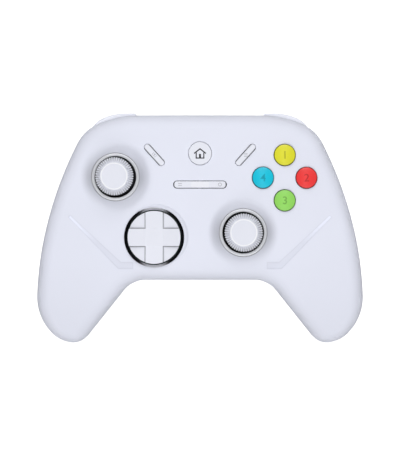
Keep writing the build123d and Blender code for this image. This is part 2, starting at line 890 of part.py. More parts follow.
with BuildPart() as stick_module:
    with BuildSketch(Plane.XY.offset(-stick_pivot_rise)):
        Rectangle(stick_module_side, stick_module_side)
        Rectangle(stick_module_side - 2 * stick_module_wall,
                  stick_module_side - 2 * stick_module_wall, mode=Mode.SUBTRACT)
    extrude(amount=stick_pivot_rise + stick_module_rise)
    with BuildSketch(Plane.XY.offset(stick_module_rise - stick_module_wall)):
        Rectangle(stick_module_side, stick_module_side)
        Circle(stick_module_mouth_radius, mode=Mode.SUBTRACT)
    extrude(amount=stick_module_wall)
    rod_y(0, (-stick_module_side, stick_module_side), 0, stick_bearing_radius, Mode.SUBTRACT)
    sensor_z = (-stick_pivot_rise, -stick_pivot_rise + stick_sensor_height)
    sensor_far = stick_module_side / 2 + stick_sensor_thickness
    sensor_half = stick_sensor_width / 2
    block((stick_module_side / 2, sensor_far), (-sensor_half, sensor_half), sensor_z)
    block((-sensor_half, sensor_half), (stick_module_side / 2, sensor_far), sensor_z)
    post(0, 0, -stick_pivot_rise, -stick_pivot_rise + click_dome_height, click_dome_radius)
    floor_z = (-stick_pivot_rise, -stick_pivot_rise + click_dome_height / 2)
    block((-click_dome_radius, click_dome_radius),
          (-stick_module_side / 2, stick_module_side / 2), floor_z)

with BuildPart() as stick_plunger:
    plunger_low_z = -stick_pivot_rise + click_dome_height + click_travel + click_gap
    block((-plunger_span / 2, plunger_span / 2), (-plunger_width / 2, plunger_width / 2),
          (plunger_low_z, plunger_low_z + plunger_thickness))
    for side in (-1, 1):
        plate_x = sorted((side * plunger_span / 2, side * (plunger_span / 2 - plunger_thickness)))
        block(plate_x, (-plunger_width / 2, plunger_width / 2), (plunger_low_z, plunger_rise))
    rod_x((-plunger_span, plunger_span), 0, 0, stick_bearing_radius, Mode.SUBTRACT)

with BuildPart() as lower_yoke:
    block((-lower_yoke_length / 2, lower_yoke_length / 2),
          (-lower_yoke_width / 2, lower_yoke_width / 2), (-lower_yoke_drop, lower_yoke_rise))
    rod_x((-plunger_span / 2, plunger_span / 2), 0, 0, stick_trunnion_radius)
    block((-lower_yoke_slot_length / 2, lower_yoke_slot_length / 2),
          (-lower_yoke_slot_width / 2, lower_yoke_slot_width / 2),
          (-lower_yoke_drop, lower_yoke_rise), Mode.SUBTRACT)
    rod_y(0, (-lower_yoke_width, lower_yoke_width), 0, stem_pin_radius + stem_pin_clearance,
          Mode.SUBTRACT)

with BuildPart() as upper_yoke:
    with BuildSketch(Plane.YZ):
        Circle(upper_yoke_radius)
        Circle(upper_yoke_bore, mode=Mode.SUBTRACT)
        with Locations((0, -upper_yoke_radius)):
            Rectangle(2 * upper_yoke_radius, 2 * upper_yoke_radius, mode=Mode.SUBTRACT)
    extrude(amount=upper_yoke_width / 2, both=True)
    for side in (-1, 1):
        leg_y = sorted((side * upper_yoke_bore, side * upper_yoke_radius))
        pin_y = sorted((side * upper_yoke_radius, side * stick_module_side / 2))
        rod_y(0, leg_y, 0, upper_yoke_width / 2)
        rod_y(0, pin_y, 0, stick_trunnion_radius)
    block((-upper_yoke_slot_width / 2, upper_yoke_slot_width / 2),
          (-upper_yoke_slot_length / 2, upper_yoke_slot_length / 2),
          (upper_yoke_bore / 2, upper_yoke_radius), Mode.SUBTRACT)

with BuildPart() as stick_stem:
    post(0, 0, -stem_drop, stem_shoulder_rise, stem_radius)
    post(0, 0, stem_shoulder_rise, stem_head_rise, stem_head_radius)
    rod_y(0, (-stem_pin_length / 2, stem_pin_length / 2), 0, stem_pin_radius)

with BuildPart() as stick_cap:
    with BuildSketch(side_plane) as skirt:
        Circle(skirt_radius)
        Circle(skirt_radius - skirt_thickness, mode=Mode.SUBTRACT)
        reach = 2 * skirt_radius
        wedge = (reach * math.sin(math.radians(skirt_angle)),
                 reach * math.cos(math.radians(skirt_angle)))
        with BuildLine():
            Polyline((0, 0), wedge, (reach, reach), (0, reach), close=True)
        make_face(mode=Mode.INTERSECT)
    revolve(axis=Axis.Z)
    cap_low_rise = cap_rise - cap_height
    post(0, 0, skirt_radius - skirt_thickness, cap_low_rise, cap_neck_radius)
    with BuildSketch(side_plane):
        with BuildLine():
            Polyline((0, cap_rise - cap_dish_depth), (0, cap_low_rise),
                     (cap_underside_radius, cap_low_rise),
                     (cap_radius, cap_low_rise + cap_rim_height),
                     (cap_crown_radius + cap_lip, cap_rise - cap_lip),
                     (cap_crown_radius, cap_rise),
                     (cap_crown_radius - cap_lip, cap_rise))
            TangentArc((0, cap_rise - cap_dish_depth), (cap_crown_radius - cap_lip, cap_rise),
                       tangent=(1, 0))
        make_face()
    revolve(axis=Axis.Z)
    post(0, 0, 0, stem_head_rise, stem_head_radius, Mode.SUBTRACT)

for side, x, y in sticks:
    ring_place = Location((x, y, ring_height(x, y)))
    pivot_place = Location((x, y, stick_pivot_z))
    save(stick_ring.part.moved(ring_place), side + "_stick_ring")
    save(stick_module.part.moved(pivot_place), side + "_stick_module")
    save(stick_plunger.part.moved(pivot_place), side + "_stick_plunger")
    save(lower_yoke.part.moved(pivot_place), side + "_stick_lower_yoke")
    save(upper_yoke.part.moved(pivot_place), side + "_stick_upper_yoke")
    save(stick_stem.part.moved(pivot_place), side + "_stick_stem")
    save(stick_cap.part.moved(pivot_place), side + "_stick_cap")

# Direction pad: a bright ring in the face, and a cross that rocks both ways on a small block
dpad_side = Plane(origin=(dpad_x, dpad_y, 0), x_dir=(1, 0, 0), z_dir=(0, -1, 0))
dpad_axis = Axis((dpad_x, dpad_y, 0), (0, 0, 1))
dpad_reach = dpad_block_side / 2 + dpad_ear_gap
dpad_span = dpad_reach + dpad_ear_thickness

with BuildPart() as dpad_ring:
    with BuildSketch(dpad_side) as ring_profile:
        with BuildLine():
            Polyline(
                (dpad_ring_bore, dpad_ring_z),
                (dpad_ring_radius, dpad_ring_z),
                (dpad_ring_radius, dpad_ring_z - dpad_ring_flange),
                (dpad_ring_neck_radius, dpad_ring_z - dpad_ring_flange),
                (dpad_ring_neck_radius, dpad_ring_z - dpad_ring_height),
                (dpad_ring_bore, dpad_ring_z - dpad_ring_height),
                close=True,
            )
        make_face()
        fillet(ring_profile.vertices().group_by(Axis.Y)[-1], radius=dpad_ring_round)
    revolve(axis=dpad_axis)
save(dpad_ring.part, "dpad_ring")

with BuildPart() as dpad_cap:
    # Cross with arms that rise towards their ends
    for turn in (0, 90):
        arm_plane = Plane(origin=(dpad_x, dpad_y, dpad_disc_z),
                          x_dir=(math.cos(math.radians(turn)), math.sin(math.radians(turn)), 0),
                          z_dir=(math.sin(math.radians(turn)), -math.cos(math.radians(turn)), 0))
        with BuildSketch(arm_plane):
            with BuildLine():
                Polyline((-dpad_disc_radius, 0), (-dpad_disc_radius, dpad_arm_end),
                         (-dpad_arm_width / 2, dpad_arm_middle),
                         (dpad_arm_width / 2, dpad_arm_middle),
                         (dpad_disc_radius, dpad_arm_end), (dpad_disc_radius, 0), close=True)
            make_face()
        extrude(amount=dpad_arm_width / 2, both=True)
    # Dished disc that fills the quadrants
    with BuildSketch(dpad_side):
        with BuildLine():
            hollow = TangentArc((0, dpad_disc_z + dpad_disc_middle),
                                (dpad_disc_radius, dpad_disc_z + dpad_disc_rim), tangent=(1, 0))
            Polyline(hollow @ 1, (dpad_disc_radius, dpad_disc_z), (0, dpad_disc_z), hollow @ 0)
        make_face()
    revolve(axis=dpad_axis)
    with BuildSketch(Plane((dpad_x, dpad_y, dpad_disc_z))):
        Circle(dpad_disc_radius)
    extrude(amount=dpad_arm_end, mode=Mode.INTERSECT)
    # Ears for the block's pins, and feet over the mat's domes
    for side in (-1, 1):
        ear_y = sorted(dpad_y + side * reach for reach in (dpad_reach, dpad_span))
        block((dpad_x - dpad_ear_width / 2, dpad_x + dpad_ear_width / 2), ear_y,
              (dpad_pivot_z - dpad_ear_reach, dpad_disc_z))
    rod_y(dpad_x, (dpad_y - dpad_span, dpad_y + dpad_span), dpad_pivot_z,
          dpad_pin_radius + dpad_pin_clearance, Mode.SUBTRACT)
    for turn in range(4):
        foot_angle = math.radians(90 * turn)
        post(dpad_x + dpad_foot_place_radius * math.cos(foot_angle),
             dpad_y + dpad_foot_place_radius * math.sin(foot_angle),
             mat_top_z + dpad_travel + mat_gap, dpad_disc_z, dpad_foot_radius)
save(dpad_cap.part, "dpad_cap")

with BuildPart() as dpad_rocker:
    half_side = dpad_block_side / 2
    half_height = dpad_block_thickness / 2
    block((dpad_x - half_side, dpad_x + half_side), (dpad_y - half_side, dpad_y + half_side),
          (dpad_pivot_z - half_height, dpad_pivot_z + half_height))
    rod_x((dpad_x - dpad_span, dpad_x + dpad_span), dpad_y, dpad_pivot_z, dpad_pin_radius)
    rod_y(dpad_x, (dpad_y - dpad_span, dpad_y + dpad_span), dpad_pivot_z, dpad_pin_radius)
save(dpad_rocker.part, "dpad_rocker")

with BuildPart() as dpad_post:
    post(dpad_x, dpad_y, board_top_z, dpad_pivot_z - dpad_post_drop, dpad_post_radius)
    for side in (-1, 1):
        ear_x = sorted(dpad_x + side * reach for reach in (dpad_reach, dpad_span))
        block(ear_x, (dpad_y - dpad_ear_width / 2, dpad_y + dpad_ear_width / 2),
              (dpad_pivot_z - dpad_post_drop, dpad_pivot_z + dpad_ear_reach))
    rod_x((dpad_x - dpad_span, dpad_x + dpad_span), dpad_y, dpad_pivot_z,
          dpad_pin_radius + dpad_pin_clearance, Mode.SUBTRACT)
save(dpad_post.part, "dpad_post")


def mat_domes(places):
    """Rubber domes on a mat, drawn at the height they have when pressed."""
    for x, y in places:
        with BuildSketch(Plane((x, y, board_top_z + mat_thickness))) as low_disc:
            Circle(mat_dome_low_radius)
        with BuildSketch(Plane((x, y, mat_top_z))) as top_disc:
            Circle(mat_dome_top_radius)
        loft([low_disc.sketch, top_disc.sketch])


with BuildPart() as dpad_mat:
    with BuildSketch(Plane((dpad_x, dpad_y, board_top_z))):
        Circle(dpad_foot_place_radius + mat_dome_low_radius + mat_margin)
        Circle(dpad_post_radius + mat_gap, mode=Mode.SUBTRACT)
    extrude(amount=mat_thickness)
    mat_domes([
        (dpad_x + dpad_foot_place_radius * math.cos(math.radians(90 * turn)),
         dpad_y + dpad_foot_place_radius * math.sin(math.radians(90 * turn)))
        for turn in range(4)
    ])
save(dpad_mat.part, "dpad_mat")

# Face buttons over their mat
with BuildPart() as face_button_mat:
    with BuildSketch(Plane.XY.offset(board_top_z)) as mat_plan:
        with Locations([(x, y) for place, x, y in face_buttons]):
            Circle(mat_dome_low_radius + mat_margin)
        make_hull()
    extrude(amount=mat_thickness)
    mat_domes([(x, y) for place, x, y in face_buttons])
save(face_button_mat.part, "face_button_mat")

for place, x, y in face_buttons:
    button_axis = Axis((x, y, 0), (0, 0, 1))
    flange_top_z = face_collar_z - face_flange_gap
    button_top_z = face_height(x, y) + face_button_rise
    with BuildPart() as face_button:
        with BuildSketch(Plane(origin=(x, y, 0), x_dir=(1, 0, 0), z_dir=(0, -1, 0))):
            with BuildLine():
                crown = TangentArc((0, button_top_z),
                                   (face_button_radius, button_top_z - face_button_dome),
                                   tangent=(1, 0))
                Polyline(crown @ 1, (face_button_radius, flange_top_z),
                         (face_button_flange_radius, flange_top_z),
                         (face_button_flange_radius, flange_top_z - face_button_flange),
                         (face_button_leg_radius, flange_top_z - face_button_flange),
                         (face_button_leg_radius, mat_top_z + face_button_travel + mat_gap),
                         (0, mat_top_z + face_button_travel + mat_gap), crown @ 0)
            make_face()
        revolve(axis=button_axis)
    save(face_button.part, "face_button_" + place)

# Small buttons, each on one leg over its switch
small_leg_z = switch_top_z + small_button_travel + switch_gap
for side, name in ((-1, "view_button"), (1, "menu_button")):
    x = side * small_buttons_x
    angle = side * pill_angle
    face_level = face_height(x, small_buttons_y)
    flange_z = face_level - small_button_depth
    with BuildPart() as small_button:
        extrude(pill_sketch(x, small_buttons_y, flange_z, angle, 0),
                amount=small_button_depth + pill_rise)
        fillet(small_button.faces().sort_by(Axis.Z)[-1].edges(), radius=small_button_round)
        extrude(pill_sketch(x, small_buttons_y, flange_z, angle, small_button_flange_margin),
                amount=small_button_flange)
        post(x, small_buttons_y, small_leg_z, flange_z, small_button_leg_radius)
    save(small_button.part, name)

with BuildPart() as home_button:
    home_level = face_height(0, home_button_y)
    home_flange_z = home_level - small_button_depth
    post(0, home_button_y, home_flange_z, home_level + home_button_rise, home_button_radius)
    fillet(home_button.faces().sort_by(Axis.Z)[-1].edges(), radius=small_button_round)
    post(0, home_button_y, home_flange_z, home_flange_z + small_button_flange,
         home_button_radius + small_button_flange_margin)
    post(0, home_button_y, small_leg_z, home_flange_z, small_button_leg_radius)
save(home_button.part, "home_button")

with BuildPart() as function_bar:
    bar_low_z = function_bar_top_z - function_bar_height
    extrude(bar_sketch(bar_low_z, 0), amount=function_bar_height)
    fillet(function_bar.faces().sort_by(Axis.Z)[-1].edges(), radius=small_button_round)
    rod_y(0, (function_bar_y - ear_far, function_bar_y + ear_far), function_bar_pin_z,
          function_bar_pin_radius)
    for side in (-1, 1):
        post(side * function_bar_leg_x, function_bar_y,
             switch_top_z + function_bar_travel + switch_gap, bar_low_z,
             function_bar_leg_radius)
save(function_bar.part, "function_bar")

# Switches on the board: under the small buttons, and facing the bumpers
with BuildPart() as tact_switches:
    for x, y in (
        (-small_buttons_x, small_buttons_y),
        (small_buttons_x, small_buttons_y),
        (0, home_button_y),
        (-function_bar_leg_x, function_bar_y),
        (function_bar_leg_x, function_bar_y),
    ):
        half = switch_side / 2
        block((x - half, x + half), (y - half, y + half),
              (board_top_z, board_top_z + switch_height))
        post(x, y, board_top_z + switch_height, switch_top_z, switch_nub_radius)
    for side in (-1, 1):
        x = side * bumper_finger_x
        half = switch_side / 2
        block((x - half, x + half), (board_top_y - switch_height, board_top_y),
              (board_top_z, board_top_z + switch_height))
        rod_y(x, (board_top_y, board_top_y + switch_nub_height),
              board_top_z + switch_height - side_switch_nub_radius - switch_gap,
              side_switch_nub_radius)
save(tact_switches.part, "tact_switches")

# Shoulder bumpers: a skin with an arm to its pivot and a finger to its switch
with BuildPart() as bumper:
    extrude(bumper_sketch(bumper_low_z, 0), amount=bumper_height)
    front_edges = bumper.faces().filter_by(Axis.Z).edges().filter_by(
        lambda edge: edge.center().Y > bumper_outer_y)
    fillet(front_edges, radius=bumper_round)
    skin_low_z = bumper_low_z + bumper_skin
    pocket_height = bumper_height - 2 * bumper_skin
    extrude(bumper_sketch(skin_low_z, -bumper_wall), amount=pocket_height, mode=Mode.SUBTRACT)
    block((bumper_inner_x + bumper_wall, bumper_back_x - bumper_wall),
          (bumper_back_y, bumper_back_y + 2 * bumper_wall),
          (skin_low_z, skin_low_z + pocket_height), Mode.SUBTRACT)
    block((bumper_pivot_x, bumper_inner_x + bumper_wall),
          (bumper_pivot_y - bumper_boss_radius, bumper_pivot_y + bumper_boss_radius),
          (bumper_arm_low_z, bumper_arm_low_z + bumper_arm_height))
    post(bumper_pivot_x, bumper_pivot_y, bumper_arm_low_z,
         bumper_arm_low_z + bumper_arm_height, bumper_boss_radius)
    post(bumper_pivot_x, bumper_pivot_y, bumper_arm_low_z,
         bumper_arm_low_z + bumper_arm_height, bumper_pivot_radius + bumper_pivot_clearance,
         Mode.SUBTRACT)
    finger_end_y = board_top_y + switch_nub_height + bumper_travel + switch_gap
    block((bumper_finger_x - bumper_finger_width / 2, bumper_finger_x + bumper_finger_width / 2),
          (finger_end_y, bumper_back_y + bumper_wall),
          (bumper_finger_low_z, bumper_finger_low_z + bumper_finger_width))
save(bumper.part, "right_bumper")
save(mirror(bumper.part, about=Plane.YZ), "left_bumper")

# Triggers: a ribbed shell on two arms, turning on a pin
with BuildPart() as trigger_pocket:
    for rib_gap in (
        (trigger_inner_x + trigger_wall, trigger_arm_inner_x),
        (trigger_arm_inner_x + trigger_arm_thickness, trigger_arm_outer_x - trigger_arm_thickness),
        (trigger_arm_outer_x, trigger_outer_x - trigger_wall),
    ):
        extrude(trigger_sketch(rib_gap[0], trigger_wall), amount=rib_gap[1] - rib_gap[0])
    extrude(outline_face(trigger_outline_gap + trigger_wall), amount=face_z, mode=Mode.INTERSECT)

with BuildPart() as trigger:
    extrude(trigger_sketch(trigger_inner_x, 0), amount=trigger_outer_x - trigger_inner_x)
    extrude(outline_face(trigger_outline_gap), amount=face_z, mode=Mode.INTERSECT)
    add(trigger_pocket.part, mode=Mode.SUBTRACT)
    behind = (trigger_pivot_y - trigger_hub_radius - overrun, trigger_shoulder_y)
    block((trigger_inner_x, trigger_arm_inner_x), behind, (0, face_z), Mode.SUBTRACT)
    block((trigger_arm_outer_x, trigger_outer_x), behind, (0, face_z), Mode.SUBTRACT)
    block((trigger_inner_x, trigger_outer_x),
          (trigger_pivot_y + trigger_hub_radius, body_top_y + overrun),
          (bumper_low_z - bumper_gap, face_z), Mode.SUBTRACT)
    rod_x((trigger_arm_inner_x + trigger_arm_thickness,
           trigger_arm_outer_x - trigger_arm_thickness),
          trigger_pivot_y, trigger_pivot_z, trigger_spring_room, Mode.SUBTRACT)
    rod_x((trigger_inner_x, trigger_outer_x), trigger_pivot_y, trigger_pivot_z,
          trigger_pin_radius + trigger_pin_clearance, Mode.SUBTRACT)
save(trigger.part, "right_trigger")
save(mirror(trigger.part, about=Plane.YZ), "left_trigger")

with BuildPart() as trigger_pins:
    rod_x((frame_ear_inner_x, frame_ear_outer_x + frame_ear_thickness),
          trigger_pivot_y, trigger_pivot_z, trigger_pin_radius)
    mirror(about=Plane.YZ)
save(trigger_pins.part, "trigger_pins")

with BuildPart() as trigger_springs:
    spring_length = spring_turns * spring_pitch
    spring_x = (trigger_arm_inner_x + trigger_arm_outer_x - spring_length) / 2
    with BuildLine():
        coil = Helix(pitch=spring_pitch, height=spring_length, radius=spring_coil_radius,
                     center=(spring_x, trigger_pivot_y, trigger_pivot_z), direction=(1, 0, 0))
    with BuildSketch(Plane(origin=coil @ 0, z_dir=coil % 0)):
        Circle(spring_wire_radius)
    sweep(path=coil)
    mirror(about=Plane.YZ)
save(trigger_springs.part, "trigger_springs")

# Frame across the body that carries the trigger pins
with BuildPart() as mid_frame:
    bar_front_y = frame_back_y + frame_width
    block((-frame_half_length, frame_half_length), (frame_back_y, bar_front_y),
          (frame_low_z, frame_low_z + frame_height))
    for ear_x in (frame_ear_inner_x, frame_ear_outer_x):
        with BuildSketch(Plane.YZ.offset(ear_x)):
            with Locations((trigger_pivot_y, trigger_pivot_z)):
                Circle(trigger_hub_radius)
            with Locations((bar_front_y - frame_ear_root / 2, frame_low_z + frame_height / 2)):
                Rectangle(frame_ear_root, frame_height)
            make_hull()
        extrude(amount=frame_ear_thickness)
    mirror(about=Plane.YZ)
    for side in (-1, 1):
        rod_x(sorted((side * frame_ear_inner_x, side * (frame_ear_outer_x + frame_ear_thickness))),
              trigger_pivot_y, trigger_pivot_z, trigger_pin_radius, Mode.SUBTRACT)
save(mid_frame.part, "mid_frame")

with BuildPart() as trigger_sensors:
    sensor_x = frame_ear_outer_x + frame_ear_thickness
    block((sensor_x, sensor_x + sensor_board_thickness),
          (trigger_pivot_y - sensor_board_length / 2, trigger_pivot_y + sensor_board_length / 2),
          (trigger_pivot_z - sensor_board_height / 2, trigger_pivot_z + sensor_board_height / 2))
    mirror(about=Plane.YZ)
save(trigger_sensors.part, "trigger_sensors")

# Rumble motors in the grips, each with an off-centre weight on its shaft
for side, name in ((-1, "left"), (1, "right")):
    x = side * motor_x
    with BuildPart() as motor:
        rod_y(x, (motor_low_y, motor_low_y + motor_length), motor_z, motor_radius)
        rod_y(x, (motor_low_y, motor_low_y + motor_shaft_depth), motor_z,
              motor_shaft_radius + motor_shaft_clearance, Mode.SUBTRACT)
    save(motor.part, name + "_rumble_motor")
    with BuildPart() as weight:
        weight_top_y = motor_low_y - weight_gap
        rod_y(x, (weight_top_y - weight_thickness, weight_top_y), motor_z, weight_radius)
        block((x - weight_radius, x + weight_radius),
              (weight_top_y - weight_thickness, weight_top_y),
              (motor_z, motor_z + weight_radius), Mode.SUBTRACT)
        rod_y(x, (weight_top_y - weight_thickness, weight_top_y), motor_z, weight_hub_radius)
        rod_y(x, (weight_top_y, motor_low_y + motor_shaft_depth - weight_gap), motor_z,
              motor_shaft_radius)
    save(weight.part, name + "_rumble_weight")
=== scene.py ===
import math

import bmesh
import bpy
from bpy.props import FloatProperty, FloatVectorProperty, IntProperty, PointerProperty
from mathutils import Matrix, Vector


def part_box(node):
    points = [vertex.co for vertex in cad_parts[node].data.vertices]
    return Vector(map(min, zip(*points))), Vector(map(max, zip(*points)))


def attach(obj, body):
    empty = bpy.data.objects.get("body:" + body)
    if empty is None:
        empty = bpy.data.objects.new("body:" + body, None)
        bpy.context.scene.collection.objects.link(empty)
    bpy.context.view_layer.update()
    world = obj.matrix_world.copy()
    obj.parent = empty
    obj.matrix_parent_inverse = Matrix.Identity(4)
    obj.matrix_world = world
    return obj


bl_info = {
    "name": "Gamepad finishes",
    "version": (1, 0, 0),
    "blender": (4, 5, 0),
    "location": "View3D > Sidebar > Gamepad",
    "description": "Gives a two-handed gamepad its moulded plastics, knurled sticks and marks",
    "category": "Object",
}

MM = 0.001
SIDES = ("left", "right")

# Painted shade and highlight in the channels and painted shade in the wells go above this height
# only, on the face of the body
FACE_LEVEL = 30 * MM

# Ribs of a stick cap: the ends of their slope as reach from the middle and level under the
# top, share of width lost towards the crown, share left on the crest, and depth in the cap
CAP_RIM = Vector((8.53 * MM, -2.7 * MM))
CAP_CROWN = Vector((6.35 * MM, -0.25 * MM))
RIB_TAPER = 0.3
RIB_CREST = 0.45
RIB_SUNK = 0.1 * MM

# Radii where the grooves of a cap turn grey with painted shade, drop to its neck, and how its
# circle fades
GROOVE_RADII = (6.4 * MM, 8.3 * MM)
NECK_DROP = 2.9 * MM
CIRCLE_FADE = (0.38 * MM, 0.12 * MM)

# Domed faces on the rings: bore and rim, as steps from the rim of the ring below
STICK_BEZEL = (-1.6 * MM, -0.35 * MM)
PAD_BEZEL = (-0.98 * MM, 0.2 * MM)
DOME_STEPS = 6
DOME_SEGMENTS = 144

# Circle on each cap: segments round it, and round its section
TRIM_SEGMENTS = 96
TRIM_SIDES = 10

# Painted shade in creases along the direction pad's arms: distance where it is gone and where it
# is full, how far before an arm's corner it starts, and how far it lies on the arm
CREASE_FADE = (0.6 * MM, 0.1 * MM)
CREASE_START = 0.2 * MM
CREASE_OVERLAP = 0.12 * MM

# Painted reflection at the ends of the polished ring: share of a radius that runs along where it
# begins and where it is brightest, and how much less metallic the ends are
CHROME_HIGHLIGHT_SHARES = (0.82, 1.0)
CHROME_HIGHLIGHT_LOSS = 0.6

# Painted shade round a face button's rim: steps from the rim where it is darkest and where it
# has its own colour
BUTTON_RIM_SHADE = (0.05 * MM, 0.45 * MM)

# Factors on the colour where a mask is one: a dark line for the seam, painted shade for the
# rest, and a painted highlight for the channel's strip
SEAM_TONE = 0.22
CHANNEL_PAINTED_LIGHT_TONES = (("Floor", 0.95), ("Strip", 1.22), ("Line", 0.92))
WELL_PAINTED_SHADE_TONE = 0.58
BEZEL_PAINTED_SHADE_TONE = 0.62
ROUND_RIM_PAINTED_SHADE_TONE = 0.16
SLOT_RIM_PAINTED_SHADE_TONE = 0.12
CREASE_PAINTED_SHADE_TONE = 0.42

# Corners of the right grip's channel in plan, as shares of the body's reach from its middle
CHANNEL_SHARES = ((0.793, 0.104), (0.491, -0.341), (0.404, -0.341),
                  (0.404, -0.287), (0.476, -0.287), (0.782, 0.118))

FACE_BUTTON_SLOTS = {"north": "yellow_cap", "east": "red_cap", "south": "green_cap",
                     "west": "blue_cap"}

# Bars of the printed marks: step across and along, length and width in mm, turn in degrees
MENU_BARS = tuple((0.0, step, 1.7, 0.25, 0) for step in (-0.7, 0.0, 0.7))
HOUSE_BARS = ((-1.28, 1.05, 3.6, 0.55, 38), (-1.75, -1.0, 0.5, 2.7, 0),
              (1.28, 1.05, 3.6, 0.55, -38), (1.75, -1.0, 0.5, 2.7, 0),
              (0.0, -2.2, 4.0, 0.5, 0), (0.0, -1.2, 0.9, 1.8, 0))
WINDOW_BARS = ((0.0, 0.0, 8.2, 2.6, 0),)
EQUAL_BARS = ((-9.2, 0.45, 1.7, 0.25, 0), (-9.2, -0.45, 1.7, 0.25, 0))
WINDOW_CORNER = 0.6 * MM
MARK_DEPTH = 0.1 * MM
SQUARE_SHIFT = 0.55 * MM
SQUARE_RADII = (0.75 * MM, 0.55 * MM)
RING_STEP = Vector((9.2 * MM, 0.0, 0.0))
RING_RADII = (0.85 * MM, 0.6 * MM)

# Numbers on the face buttons: squares that they are cut into, depth, and boldness as a
# share of their height
DIGIT_CUT = 0.35 * MM
DIGIT_DEPTH = 0.12 * MM
DIGIT_BOLD = 0.012

# Studio: where the lights aim, the floor's reach and depth, and the camera's shift along
AIM = Vector((0.0, 0.0, 30 * MM))
FLOOR_REACH = 3.0
FLOOR_DROP = 0.05 * MM
CAMERA_SHIFT = 0.2 * MM

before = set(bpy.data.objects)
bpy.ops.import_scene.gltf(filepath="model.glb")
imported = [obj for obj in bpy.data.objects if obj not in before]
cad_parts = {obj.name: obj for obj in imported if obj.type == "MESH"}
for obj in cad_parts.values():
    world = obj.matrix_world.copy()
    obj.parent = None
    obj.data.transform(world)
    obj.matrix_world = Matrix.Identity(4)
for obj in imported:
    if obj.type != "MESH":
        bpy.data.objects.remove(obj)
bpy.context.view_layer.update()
groups = {}
finishes = {}


def middle_of(node):
    """Point above the middle of a node's plan, at its highest level."""
    low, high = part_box(node)
    return Vector(((low.x + high.x) / 2, (low.y + high.y) / 2, high.z))


def half_size(node):
    """Half of a node's box."""
    low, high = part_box(node)
    return (high - low) / 2


# Settings

def colour_setting(name, description, *default):
    """Property for a colour."""
    return FloatVectorProperty(name=name, description=description, subtype="COLOR", size=3,
                               default=default)


def length_setting(name, description, default):
    """Property for a length, from its default in millimetres."""
    return FloatProperty(name=name, description=description, unit="LENGTH",
                         default=default * MM)


class GamepadColours(bpy.types.PropertyGroup):
    """Colours of the moulded and painted surfaces."""

    shell: colour_setting("Body", "Body of the gamepad", 0.747, 0.766, 0.865)
    button: colour_setting("White buttons", "Pad, bar, pills and rings", 0.76, 0.775, 0.85)
    stick: colour_setting("Stick caps", "Pale rubber of the stick caps", 0.74, 0.755, 0.83)
    circle: colour_setting("Stick circles", "Bright circle on each cap", 0.88, 0.885, 0.92)
    # Painted shade between a stick cap's ribs
    groove: colour_setting("Grooves", "Between a stick cap's ribs", 0.42, 0.425, 0.45)
    north: colour_setting("Upper button", "Upper face button", 0.73, 0.71, 0.035)
    east: colour_setting("Right button", "Right face button", 0.84, 0.047, 0.047)
    south: colour_setting("Lower button", "Lower face button", 0.29, 0.68, 0.125)
    west: colour_setting("Left button", "Left face button", 0.01, 0.54, 0.72)
    dark: colour_setting("Dark plastic", "Skirts and sockets", 0.012, 0.012, 0.014)
    mark: colour_setting("Marks", "Printed marks", 0.42, 0.43, 0.47)
    emblem: colour_setting("Dark mark", "House on the round button", 0.03, 0.03, 0.035)
    window: colour_setting("Window", "Milky window on the bar", 0.8, 0.81, 0.87)
    # Painted reflection on the polished ring: dark at its sides, bright at its ends
    chrome: colour_setting("Chrome", "Sides of the polished ring", 0.05, 0.052, 0.06)
    chrome_ends: colour_setting("Chrome ends", "Ends of the polished ring", 0.52, 0.53, 0.58)
    edge: colour_setting("Ring edge", "Edge of a stick's ring", 0.4, 0.4, 0.43)
    steel: colour_setting("Steel", "Pins, springs and screws", 0.58, 0.58, 0.6)
    brass: colour_setting("Brass", "Rumble weights", 0.62, 0.45, 0.17)
    inner: colour_setting("Inner plastic", "Frame, yokes and stems", 0.03, 0.03, 0.032)
    mat: colour_setting("Mats", "Silicone mats", 0.28, 0.29, 0.31)
    board: colour_setting("Board", "Circuit boards", 0.004, 0.05, 0.022)
    track: colour_setting("Tracks", "Tracks of the circuit boards", 0.012, 0.11, 0.05)
    foil: colour_setting("Foil", "Dark creases of the cell", 0.5, 0.51, 0.54)
    foil_bright: colour_setting("Bright foil", "Bright creases of the cell", 0.62, 0.63, 0.66)


class GamepadSizes(bpy.types.PropertyGroup):
    """Sizes of the fine detail that stands on the solids."""

    rib_count: IntProperty(name="Ribs", description="Ribs round each stick cap", default=48,
                           min=12, max=160)
    rib_height: length_setting("Rib height", "Height of a rib on the cap", 0.34)
    rib_width: length_setting("Rib width", "Width of a rib at the cap's rim", 0.7)
    trim_radius: length_setting("Trim radius", "Radius of the circle on a cap", 5.95)
    trim_width: length_setting("Trim width", "Thickness of the circle on a cap", 0.34)
    digit_height: length_setting("Digit height", "Height of a button's number", 5.0)
    dome_radius: length_setting("Dome radius", "Radius of a face button's dome", 11.02)
    button_radius: length_setting("Button radius", "Radius of a face button", 5.0)
    channel_edge: length_setting("Channel edge", "Width of the channel's line", 0.35)
    well_inner: length_setting("Well radius", "Radius of a stick's well", 11.3)
    well_outer: length_setting("Well reach", "Radius where a well's shade ends", 17.0)
    pad_arm: length_setting("Pad arm", "Half the width of the pad's arms", 4.1)
    pill_angle: FloatProperty(name="Slanted button angle", description="Turn in degrees",
                              default=48.0)
    pill_radius: length_setting("Slanted button radius", "Radius of its ends", 1.475)
    bezel_rise: length_setting("Bezel rise", "Height of the domed ring faces", 0.2)
    ink: length_setting("Ink thickness", "Thickness of a printed mark", 0.03)
    seam: length_setting("Seam width", "Width of the line between the shells", 0.3)


